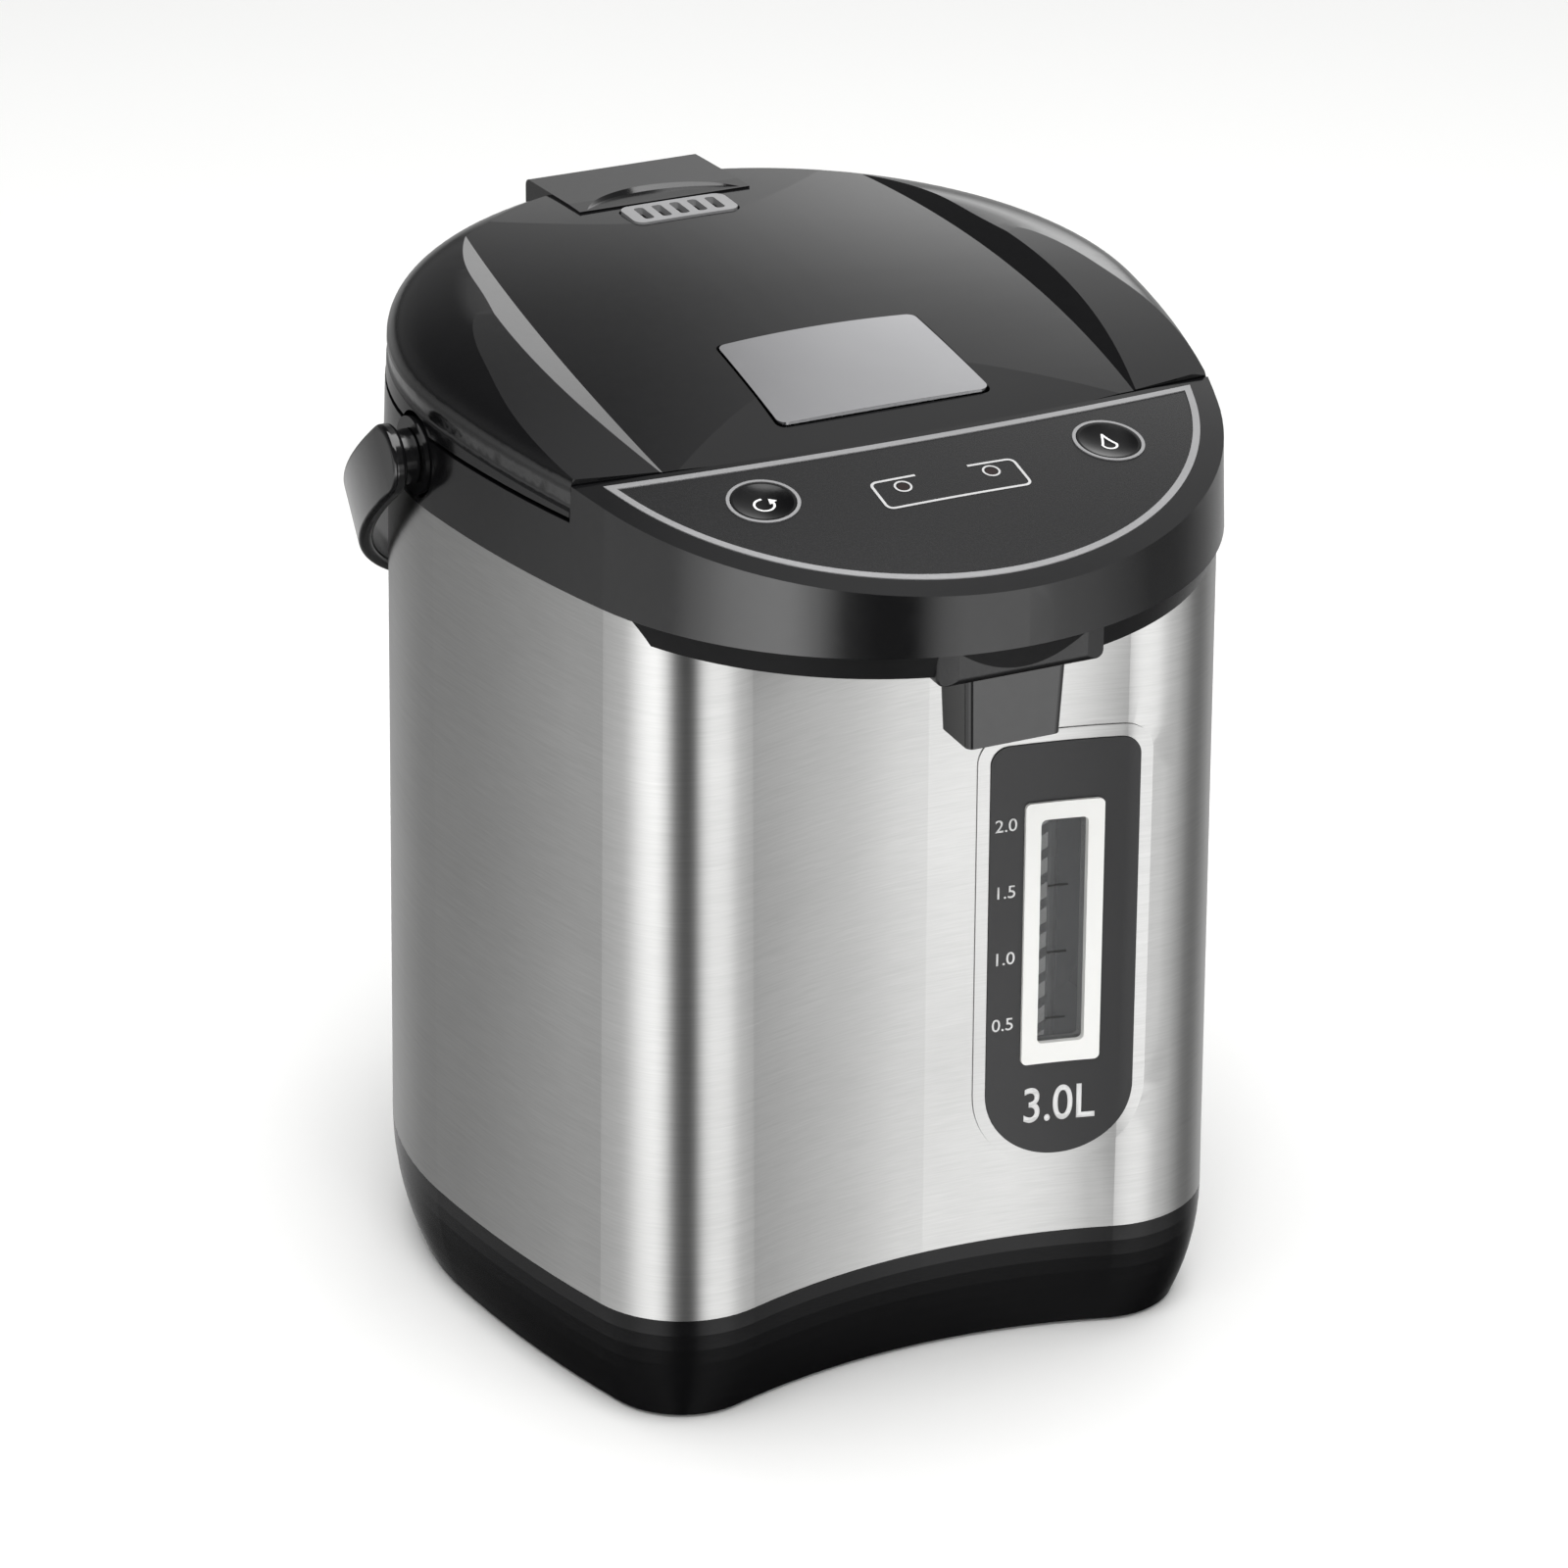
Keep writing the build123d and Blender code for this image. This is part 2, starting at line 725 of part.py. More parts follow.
def make_pump_impeller():
    """Vaned wheel on its motor shaft."""
    low = pump_low + pump_wall + 0.8
    wheel = upright(pump_x, pump_y, impeller_radius, low, low + 1.6)
    wheel += upright(pump_x, pump_y, 3, low, low + 6)
    for turn in range(6):
        vane = Rot(0, 0, 60 * turn) * Pos(7.4, 0, 0) * Box(10.4, 1.2, 5)
        wheel += Pos(pump_x, pump_y, low + 3.6) * vane
    wheel += upright(pump_x, pump_y, 1.5, pump_low - 7.5, low)
    return wheel


def make_motor_mount():
    return upright(pump_x, pump_y, motor_radius - 2, cover_high + fit_gap, motor_low - fit_gap)


def make_suction_hose():
    hose = upright(pump_x, pump_y, 6.6, pump_high + fit_gap, pot_floor - fit_gap)
    return hose - upright(pump_x, pump_y, 5 + fit_gap, 0, far)


def make_delivery_hose():
    ux, uy = outlet_way()
    z = (pump_low + pump_high) / 2
    start = (pump_x + ux * (pump_radius + 0.6), pump_y + uy * (pump_radius + 0.6), z)
    route = (start, (riser_x, riser_y, z), (riser_x, riser_y, z + 18))
    return pipe(route, 9, hose_radius) - pipe(route, 9, riser_radius + fit_gap)


def make_level_tube():
    low = (pump_low + pump_high) / 2 + 11
    tube = upright(riser_x, riser_y, riser_radius, low, shell_top - 8)
    return tube - upright(riser_x, riser_y, riser_bore, 0, far)


def make_outlet_pipe():
    outside = riser_radius + 1.0
    level = shell_top + outside + 0.8
    route = ((riser_x, riser_y, shell_top - 16), (riser_x, riser_y, level),
             (0, spout_y, level), (0, spout_y, shroud_bottom))
    return pipe(route, 8, outside) - pipe(route, 8, riser_radius + fit_gap)


# Head

def head_block():
    rise = 44.0
    return between(head_plan, 0, head_bottom, -rise * head_lean, head_bottom + rise) & dome()


def front_room():
    """Space under the control panel, ahead of the wall that the lid closes against."""
    rise = 44.0
    room = between(head_plan, -head_wall, head_bottom - 1, -head_wall - rise * head_lean, head_bottom + rise)
    room -= behind_front(-lid_gap - head_wall, 0, far)
    return room & dome(panel_thickness + roof_thickness + 0.1)


def panel_column(grow):
    """Upright column with the outline of the trim, grown by grow."""
    column = prism(head_plan(-trim_inset + grow), head_bottom, far)
    return column - behind_front(-trim_front_gap + grow, 0, far)


def button_column(side, radius, deep):
    place = dome_plane(side * button_x, button_y)
    return extrude(place.offset(-deep) * Circle(radius), amount=deep + 5)


def lamp_column(side, radius, deep):
    place = dome_plane(side * lamp_x, lamp_y)
    return extrude(place.offset(-deep) * Circle(radius), amount=deep)


def board_plane():
    return dome_plane(0, board_y).offset(-board_drop)


def on_board(side, drop):
    """Place on the board, and height over it, of a point on a button's axis below the dome."""
    below = dome_plane(side * button_x, button_y).offset(-drop).origin
    return board_plane().to_local_coords(below)


def board_posts():
    return [(-30, -7), (30, -7), (-30, 8), (30, 8)]


def make_head_collar():
    head = head_block()
    head -= behind_front(-lid_gap, collar_top, far)
    well = prism(head_plan(-well_inset), deck_height, far) & behind_front(-lid_gap, 0, far)
    head -= well
    head -= front_room()
    under = prism(body_plan(shell_grow(head_bottom) + fit_gap), head_bottom - 1, deck_low)
    head -= under
    head -= upright(0, pot_y, mouth_radius + 0.6, 0, far)
    seat = panel_column(fit_gap) - dome(panel_thickness + 0.1)
    head -= seat
    for side in (-1, 1):
        head -= button_column(side, button_radius + 0.3, 9)
        head -= lamp_column(side, lamp_radius + fit_gap, 9)
        head -= across(pivot_y, pivot_z, pivot_recess, side * pivot_face, side * (pivot_face + 30))
    catch_front = behind_front(-lid_gap - 1, catch_low, catch_high)
    ledge_reach = hook_face - catch_gap
    ledge = block(-hook_width / 2 - 2, hook_width / 2 + 2, -far, ledge_reach, catch_low, catch_high)
    head += ledge & catch_front
    plane = board_plane()
    for x, y in board_posts():
        post = extrude(plane * Pos(x, y) * Circle(3), amount=board_drop - 1.6)
        head += post & dome(panel_thickness + 1)
    return head


def make_panel_trim():
    ring = panel_column(0) - panel_column(-trim_width)
    proud = barrel(dome_apex_y, dome_apex_z + 0.25, dome_long_radius, dome_cross_radius, 0)
    return (ring & proud) - dome(panel_thickness)


def make_control_panel():
    panel = panel_column(-trim_width - fit_gap) & dome()
    panel -= dome(panel_thickness)
    for side in (-1, 1):
        panel -= button_column(side, ring_radius + fit_gap, 9)
        panel -= lamp_column(side, lamp_radius + fit_gap, 9)
    return panel


def make_button_ring(side):
    ring = button_column(side, ring_radius, panel_thickness - 0.1)
    ring -= button_column(side, button_radius + 0.3, 9)
    proud = barrel(dome_apex_y, dome_apex_z + 0.3, dome_long_radius, dome_cross_radius, 0)
    return ring & proud


def make_button(side):
    place = dome_plane(side * button_x, button_y)
    cap = extrude(place.offset(-button_flange) * Circle(button_radius), amount=button_flange + 0.1)
    dish = place.offset(33.2) * Sphere(34.0)
    cap -= dish
    cap += extrude(place.offset(-button_flange) * Circle(button_radius + 1.3), amount=1.2)
    cap += extrude(place.offset(-button_stem) * Circle(2.5), amount=1)
    return cap


def make_indicator_lenses():
    return [lamp_column(side, lamp_radius, 5.0) for side in (-1, 1)]


def make_indicator_leds():
    plane = board_plane()
    leds = []
    for side in (-1, 1):
        spot = plane * Pos(side * lamp_x, lamp_y - board_y)
        leds.append(extrude(spot * Circle(lamp_radius), amount=board_drop - 5.6))
    return leds


def coil(place, radius, height, turns):
    """Compression spring standing on a plane."""
    path = Helix(pitch=height / turns, height=height, radius=radius)
    section = Plane(origin=path @ 0, z_dir=path % 0) * Circle(spring_wire)
    return place * sweep(section, path=path, is_frenet=True)


def make_button_springs():
    """Springs round the switches, between the board and the flanges of the buttons."""
    low = spring_wire + fit_gap
    springs = []
    for side in (-1, 1):
        top = on_board(side, button_flange)
        place = board_plane() * Pos(top.X, top.Y, low)
        springs.append(coil(place, 5.6, top.Z - part_gap - low - spring_wire, 4))
    return springs


def make_latch_spring():
    """Springs that push the front of the latch lever up."""
    low = liner_flange_top + spring_wire + fit_gap
    springs = []
    for side in (-1, 1):
        high = dome_z(18, -58) - latch_skin - 2.6 - spring_wire
        springs.append(coil(Pos(side * 18, -56, low), 2.6, high - low, 5))
    return springs


def make_control_board():
    plane = board_plane()
    return extrude(plane * Pos(0, 1) * Rectangle(2 * (button_x + 10), 23), amount=-board_thickness)


def make_tact_switches():
    switches = []
    for side in (-1, 1):
        top = on_board(side, button_stem)
        spot = board_plane() * Pos(top.X, top.Y)
        height = top.Z - button_travel - switch_gap
        body = extrude(spot * Rectangle(6, 6), amount=height - 0.8)
        switches.append(body + extrude(spot * Circle(1.7), amount=height))
    return switches


def make_underside_cover():
    low_inset = cover_inset + cover_draw
    top = head_bottom - fit_gap
    room_low = cover_bottom + cover_wall
    cover = between(head_plan, -low_inset, cover_bottom, -cover_inset, top)
    shroud_back = -recess_reach - 3
    shroud = block(-shroud_width / 2, shroud_width / 2, -shroud_front, shroud_back, shroud_bottom, top)
    shroud = fillet(shroud.edges().filter_by(Axis.Z).group_by(Axis.Y)[0], shroud_corner)
    shroud = fillet(shroud.edges().filter_by(Axis.Y).group_by(Axis.Z)[0], shroud_corner)
    cover += shroud & prism(head_plan(-cover_inset), shroud_bottom, top)
    room = between(head_plan, -low_inset - cover_wall, room_low, -cover_inset - cover_wall, top + 1)
    room_front = block(-shroud_width / 2 + cover_wall, shroud_width / 2 - cover_wall,
                       -shroud_front + cover_wall + 1.5, shroud_back, shroud_bottom + cover_wall, top + 1)
    cover -= room + room_front
    cover -= prism(body_plan(shell_grow(shroud_bottom) + part_gap), shroud_bottom - 1, top + 1)
    cover -= upright(0, spout_y, hose_radius + fit_gap, 0, far)
    return cover


def make_spout_nozzle():
    half = spout_width / 2
    top = shroud_bottom - fit_gap
    lower = Pos(0, -spout_front + spout_depth / 2, spout_bottom) * RectangleRounded(
        spout_width - 1.6, spout_depth - 1.6, 2)
    upper = Pos(0, -spout_front + spout_depth / 2, top) * RectangleRounded(spout_width, spout_depth, 2)
    nozzle = loft([lower, upper], ruled=True)
    nozzle -= upright(0, spout_y, spout_bore, 0, far)
    nozzle -= upright(0, spout_y, half / 2, 0, spout_bottom + 2)
    return nozzle


# Lid

def quad(points, y):
    """Value at y of the smooth curve through three points given as y and value."""
    total = 0.0
    for i, (yi, value) in enumerate(points):
        for j, (yj, _) in enumerate(points):
            if i != j:
                value *= (y - yj) / (yi - yj)
        total += value
    return total


def band_section(y):
    """Trapezium across the lid between the wings, in the plane at y."""
    inner = quad(crease_inner, y)
    outer = max(quad(crease_outer, y), inner + 0.4)
    low = dome_z(inner, y)
    high = max(wing_z(outer, y), low + 0.4)
    slope = (outer - inner) / (high - low)
    floor_x, floor_z = inner - 2 * slope, low - 2
    roof_x, roof_z = outer + 8 * slope, high + 8
    outline = Polygon((-floor_x, floor_z), (floor_x, floor_z),
                      (roof_x, roof_z), (-roof_x, roof_z), align=None)
    return Plane(origin=(0, y, 0), x_dir=(1, 0, 0), z_dir=(0, -1, 0)) * outline


def band_cut():
    """What is taken from the wings to leave the sunken middle with its two slanted sides."""
    places = [-95 + 24.375 * i for i in range(9)]
    return loft([band_section(y) for y in places]) - dome()


def lid_outside():
    rise = 44.0  # past the top of the dome
    depth = 40.0  # of the part below the crease, where the wall takes over
    wall = between(head_plan, -lid_inset, lid_bottom, -lid_inset - rise * head_lean, lid_bottom + rise)
    steps = [Pos(0, 0, step) * head_plan(-lid_rim_inset - inset) for inset, step in shoulder]
    inset, step = shoulder[0]
    foot = between(head_plan, depth / 4 - lid_rim_inset, -depth, -lid_rim_inset - inset, step)
    tilted = Pos(0, 0, lid_rim) * Rot(rim_tilt, 0, 0) * (foot + loft(steps))
    outside = wall & tilted & wings()
    outside = outside & behind_front(0, 0, far)
    return outside - band_cut()


def lid_tab():
    """Flat tongue at the back of the lid, over the hinge."""
    half = tab_width / 2
    start = tab_reach - tab_length
    tab = side_profile(((start, lid_rim), (start, dome_apex_z - 0.3), (start + 8, dome_apex_z - 0.7),
                        (tab_reach, tab_top), (tab_reach, hinge_z), (tab_reach - 9, hinge_z)), half)
    return fillet(tab.edges().filter_by(Axis.X).group_by(Axis.Y)[-1].sort_by(Axis.Z)[-1:], 2.5)


def vent_scoop():
    """Hollow whose floor starts behind the vent and goes down to a curved slope."""
    height = 8.0
    low = dome_z(0, scoop_start) + (scoop_start - scoop_y) * tan(radians(scoop_tilt))
    tool = Cone(scoop_radius, scoop_radius + height / tan(radians(scoop_slope)), height)
    return Pos(0, scoop_y, low) * Rot(-scoop_tilt, 0, 0) * Pos(0, 0, height / 2) * tool


def hinge_room():
    half = tab_width / 2 - ear_thickness
    return block(-half, half, hinge_y - 13.5, tab_reach - 3, deck_height + 1, tab_top - 3.4)


def latch_outline(grow):
    rear, front = latch_rear_width / 2 + grow, latch_front_width / 2 + grow
    bow = ThreePointArc((-rear, latch_rear + grow), (0, latch_rear + grow + 1.4), (rear, latch_rear + grow))
    rest = Polyline((rear, latch_rear + grow), (front, latch_front - grow), (-front, latch_front - grow),
                    (-rear, latch_rear + grow))
    return fillet(make_face([bow, *rest.edges()]).vertices(), 2.5)


def vent_outline(grow):
    return Pos(0, vent_y) * RectangleRounded(vent_width + 2 * grow, vent_depth + 2 * grow, vent_corner + grow)


def boss_places():
    return [(70, -48), (-70, -48), (84, 40), (-84, 40)]


def make_lid_cover():
    cover = lid_outside() + lid_tab() - vent_scoop()
    for side in (-1, 1):
        outer = side * tab_width / 2
        cover += across(hinge_y, hinge_z, ear_radius, outer - side * ear_thickness, outer)
    room_high = prism(head_plan(-20), lid_bottom - 1, far) & dome(lid_skin)
    room_low = between(head_plan, -lid_inset - lid_wall, lid_bottom - 1,
                       -lid_rim_inset - lid_wall, lid_rim - lid_wall)
    room = (room_high + room_low) & behind_front(lid_wall + 1, 0, far)
    cover -= room
    inside = prism(head_plan(-lid_rim_inset - 1), lid_bottom, far) & dome(1)
    for x, y in boss_places():
        cover += upright(x, y, 3.6, liner_flange_top + 0.1, far) & inside
    cover -= hinge_room()
    cover -= across(hinge_y, hinge_z, pin_radius + running_gap, -40, 40)
    cover -= prism(latch_outline(latch_gap), lid_rim - 8, far)
    cover -= prism(vent_outline(vent_gap), lid_rim, far) - dome(1.5)
    cover -= prism(vent_outline(-1.6), lid_rim - 8, far)
    for side in (-1, 1):
        pad = across(pivot_y, pivot_z, pivot_recess + 2.5, side * (pivot_face - 2), side * (pivot_face + 3))
        cover += pad & lid_outside()
        cover -= across(pivot_y, pivot_z, pivot_recess + 0.5, side * pivot_face, side * (pivot_face + 30))
        lug = block(side * 37, side * 31.6, latch_pivot_y - 4, latch_pivot_y + 4, latch_pivot_z - 4, far)
        cover += (lug & dome(1)) - across(latch_pivot_y, latch_pivot_z, latch_pin_radius + fit_gap, -60, 60)
    return cover


def make_vent_grille():
    plate = prism(vent_outline(0), lid_rim, far)
    proud = barrel(dome_apex_y, dome_apex_z + 0.5, dome_long_radius, dome_cross_radius, 0)
    plate = (plate & proud) - dome(1.45)
    for i in range(slot_count):
        x = (i - (slot_count - 1) / 2) * slot_pitch
        slot = Pos(x, vent_y) * RectangleRounded(slot_width, slot_length, 1)
        plate -= prism(slot, lid_rim, far)
    return plate


def liner_low():
    return deck_height + flange_thickness + gasket_squeeze_gap + 5.5


def make_steam_duct():
    top = dome_z(0, vent_y) - lid_skin - 0.2
    low = liner_low() + 1.2
    duct = upright(0, vent_y, duct_radius, low, top)
    duct += upright(0, vent_y, duct_radius + 3, low, low + 1.5)
    return duct - upright(0, vent_y, duct_radius - 1.5, 0, far)


def make_lid_liner():
    """Steel inner lid: a flange under the cover and a shallow dish over the pot mouth."""
    low = liner_low()
    inset = lid_inset + lid_wall + part_gap
    flange = prism(head_plan(-inset - 0.8), liner_flange_low, liner_flange_top)
    flange = flange & behind_front(lid_wall + 1 + part_gap, 0, far)
    liner = flange + upright(0, pot_y, flange_radius, low, liner_flange_top)
    liner -= upright(0, pot_y, flange_radius - 1.2, low + 1.2, far)
    liner -= upright(0, vent_y, duct_radius - 1.5, 0, far)
    liner -= block(-hook_width / 2 - 1.5, hook_width / 2 + 1.5, -far, -64.5, deck_height, far)
    liner -= block(-tab_width / 2, tab_width / 2, hinge_y - 13.8, far, deck_height, far)
    for side in (-1, 1):
        liner -= across(pivot_y, pivot_z, pivot_recess + 3, side * (pivot_face - 2.5), side * far)
    for x, y in boss_places():
        liner -= upright(x, y, 1.3, deck_height, far)
    return liner


def make_lid_screws():
    screws = []
    for x, y in boss_places():
        top = liner_flange_low
        screws.append(upright(x, y, 2.6, top - 1.4, top) + upright(x, y, 1.25, top, top + 1.4))
    return screws


def make_lid_gasket():
    low = deck_height + flange_thickness + gasket_squeeze_gap
    ring = upright(0, pot_y, flange_radius - 0.4, low, liner_low() - fit_gap)
    ring -= upright(0, pot_y, mouth_radius - 2, 0, far)
    groove = upright(0, pot_y, flange_radius + 1, low + 1.6, low + 3)
    groove -= upright(0, pot_y, flange_radius - 2.4, 0, far)
    return ring - groove


def make_hinge_pin():
    return across(hinge_y, hinge_z, pin_radius, -tab_width / 2, tab_width / 2)


def make_hinge_bracket():
    half = tab_width / 2 - ear_thickness - 1.2
    wall_face = head_back_radius - well_inset
    inner_face = wall_face - 6.5
    foot = side_profile(((inner_face, deck_height + fit_gap), (far, deck_height + fit_gap),
                         (far, collar_top), (inner_face, collar_top)), half)
    foot = foot & prism(head_plan(-well_inset - fit_gap), 0, far)
    neck = side_profile(((inner_face, collar_top - 4), (wall_face - 3, collar_top - 4),
                         (wall_face - 1, collar_top + fit_gap), (hinge_y - 2.6, collar_top + 0.5),
                         (hinge_y, hinge_z - 3), (hinge_y - 3, hinge_z + 2)), half)
    way = prism(head_plan(-well_inset - fit_gap), 0, far) + prism(head_plan(0), collar_top + fit_gap, far)
    neck = neck & way
    bracket = foot + neck + across(hinge_y, hinge_z, barrel_radius, -half, half)
    return bracket - across(hinge_y, hinge_z, pin_radius + fit_gap, -60, 60)


# Latch

def make_latch_plate():
    plate = prism(latch_outline(0), lid_rim - 8, far) & dome(-0.3)
    return plate - dome(latch_skin)


def make_latch_lever():
    """Rocker under the bright plate, with the pivot bore and the hook that holds the lid."""
    body = prism(latch_outline(-1), lid_rim - 8, far) & dome(latch_skin + fit_gap)
    body -= dome(latch_skin + 2.2)
    boss = across(latch_pivot_y, latch_pivot_z, 3.4, -28.5, 28.5)
    web = block(-28.5, 28.5, latch_pivot_y - 2.6, latch_pivot_y + 2.6, latch_pivot_z, dome_apex_z)
    body += boss + (web & dome(latch_skin + 1))
    body += hook()
    return body - across(latch_pivot_y, latch_pivot_z, latch_pin_radius + running_gap, -60, 60)


def hook():
    half = hook_width / 2 - 1
    foot_top = catch_low - 0.5
    top = dome_z(0, -63) - latch_skin - 1
    bend = catch_high + 7
    return side_profile(((-60, top), (-65.5, top - 1.2), (-65.5, bend + 3.5), (-71.6, bend - 1.5),
                         (-71.6, foot_top + 1.2), (hook_face, foot_top), (hook_face, foot_top - 2.2),
                         (-68.6, foot_top - 2.8), (-68.6, bend), (-60, bend + 3)), half)


def make_latch_pin():
    return across(latch_pivot_y, latch_pivot_z, latch_pin_radius, -36.5, 36.5)


# Handle

def pivot_boss(side):
    boss = across(pivot_y, pivot_z, boss_radius, side * (pivot_face + fit_gap), side * (boss_end - 1.1))
    boss += across(pivot_y, pivot_z, pivot_recess - 0.8, side * (boss_end - 1.1), side * boss_end)
    return boss + across(pivot_y, pivot_z, stud_radius, side * boss_end, side * (handle_half - 2.0))


def make_handle_pivots():
    return [pivot_boss(-1), pivot_boss(1)]


def make_handle():
    """Bail whose strap follows half an ellipse, hung back and down about its pivots."""
    half = strap_width / 2
    outer = Ellipse(handle_half, handle_reach)
    inner = Ellipse(handle_half - strap_thickness, handle_reach - strap_thickness)
    cut = Pos(0, -far / 2) * Rectangle(far, far)
    strap = extrude((outer - inner) - cut, amount=half, both=True)
    rims = strap.edges().group_by(Axis.Z)
    strap = fillet([edge for edge in rims[0] + rims[-1] if edge.length > handle_reach], strap_edge)
    hub_start = boss_end + 0.4
    for side in (-1, 1):
        disc = across(0, 0, half, side * (handle_half - strap_thickness), side * handle_half)
        strap += fillet(disc.edges().filter_by(GeomType.CIRCLE), strap_edge)
        strap += across(0, 0, hub_radius, side * hub_start, side * (handle_half - strap_thickness + 0.5))
        strap -= across(0, 0, stud_radius + running_gap, side * (hub_start - 1), side * (handle_half - 1.7))
    return Pos(0, pivot_y, pivot_z) * Rot(-hang_angle, 0, 0) * strap


def make_pot_gasket():
    """Soft ring between the pot flange and the deck."""
    ring = upright(0, pot_y, mouth_radius + 0.5, deck_low, deck_height - fit_gap)
    return ring - upright(0, pot_y, mouth_radius + fit_gap, 0, far)


nodes = {
    "base_skirt": make_base_skirt,
    "bottom_cover": make_bottom_cover,
    "rubber_feet": make_feet,
    "base_screws": make_base_screws,
    "power_inlet": make_power_inlet,
    "inlet_pins": make_inlet_pins,
    "power_board": make_power_board,
    "outer_shell": make_outer_shell,
    "level_panel": make_level_panel,
    "window_frame": make_window_frame,
    "window_lens": make_window_lens,
    "level_scale": make_level_scale,
    "inner_pot": make_inner_pot,
    "pot_strainer": make_pot_strainer,
    "pot_carrier": make_pot_carrier,
    "heater_plate": make_heater_plate,
    "heating_element": make_heating_element,
    "thermostats": make_thermostats,
    "heat_shield": make_heat_shield,
    "pump_housing": make_pump_housing,
    "pump_motor": make_pump_motor,
    "pump_impeller": make_pump_impeller,
    "motor_mount": make_motor_mount,
    "suction_hose": make_suction_hose,
    "delivery_hose": make_delivery_hose,
    "level_tube": make_level_tube,
    "outlet_pipe": make_outlet_pipe,
    "head_collar": make_head_collar,
    "panel_trim": make_panel_trim,
    "control_panel": make_control_panel,
    "reboil_ring": lambda: make_button_ring(-1),
    "dispense_ring": lambda: make_button_ring(1),
    "reboil_button": lambda: make_button(-1),
    "dispense_button": lambda: make_button(1),
    "indicator_lenses": make_indicator_lenses,
    "indicator_leds": make_indicator_leds,
    "control_board": make_control_board,
    "tact_switches": make_tact_switches,
    "button_springs": make_button_springs,
    "underside_cover": make_underside_cover,
    "spout_nozzle": make_spout_nozzle,
    "pot_gasket": make_pot_gasket,
    "lid_cover": make_lid_cover,
    "lid_liner": make_lid_liner,
    "lid_screws": make_lid_screws,
    "lid_gasket": make_lid_gasket,
    "vent_grille": make_vent_grille,
    "steam_duct": make_steam_duct,
    "hinge_pin": make_hinge_pin,
    "hinge_bracket": make_hinge_bracket,
    "latch_plate": make_latch_plate,
    "latch_lever": make_latch_lever,
    "latch_pin": make_latch_pin,
    "latch_springs": make_latch_spring,
    "handle_pivots": make_handle_pivots,
    "handle": make_handle,
}

os.makedirs("parts", exist_ok=True)
for name, make in nodes.items():
    made = make()
    solids = made if isinstance(made, list) else [made]
    piece = Compound(children=[Compound(piece.solids()) if len(piece.solids()) > 1 else piece.solids()[0]
                               for piece in solids])
    export_step(piece, f"parts/{name}.step")
    print(name, len(piece.solids()), "solids")
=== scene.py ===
import json
import math

import bpy
from mathutils import Matrix, Vector


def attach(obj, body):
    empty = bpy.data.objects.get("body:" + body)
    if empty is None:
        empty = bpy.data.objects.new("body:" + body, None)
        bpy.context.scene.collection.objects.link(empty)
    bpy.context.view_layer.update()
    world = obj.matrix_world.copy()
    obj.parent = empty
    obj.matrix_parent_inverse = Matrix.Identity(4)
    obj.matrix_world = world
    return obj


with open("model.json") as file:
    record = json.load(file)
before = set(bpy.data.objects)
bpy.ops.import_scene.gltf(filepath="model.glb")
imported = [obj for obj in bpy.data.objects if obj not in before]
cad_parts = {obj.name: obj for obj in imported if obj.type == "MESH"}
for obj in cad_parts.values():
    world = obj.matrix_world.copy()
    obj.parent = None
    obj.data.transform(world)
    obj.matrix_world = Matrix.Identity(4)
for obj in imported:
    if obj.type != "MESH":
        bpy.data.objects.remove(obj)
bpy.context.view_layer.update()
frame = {"nodes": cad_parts, "record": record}
nodes = frame["nodes"]
mm = 0.001
slotOf = {part["node"]: part["material_slot"] for part in frame["record"]["subparts"]}


def toLinear(code):
    # sRGB hex to the linear values that the shader wants
    parts = [int(code[i:i + 2], 16) / 255 for i in (1, 3, 5)]
    return [p / 12.92 if p <= 0.04045 else ((p + 0.055) / 1.055) ** 2.4 for p in parts] + [1.0]


def addNode(tree, kind, settings=None, links=None):
    # settings are attributes or sockets; links give (node, output) for a socket
    node = tree.nodes.new(kind)
    for key, value in (settings or {}).items():
        if isinstance(key, str) and hasattr(node, key):
            setattr(node, key, value)
        else:
            node.inputs[key].default_value = value
    for key, (source, output) in (links or {}).items():
        tree.links.new(source.outputs[output], node.inputs[key])
    return node


def startMaterial(name):
    material = bpy.data.materials.new(name)
    material.use_nodes = True
    tree = material.node_tree
    tree.nodes.clear()
    shader = addNode(tree, "ShaderNodeBsdfPrincipled")
    addNode(tree, "ShaderNodeOutputMaterial", links={"Surface": (shader, "BSDF")})
    return material, tree, shader


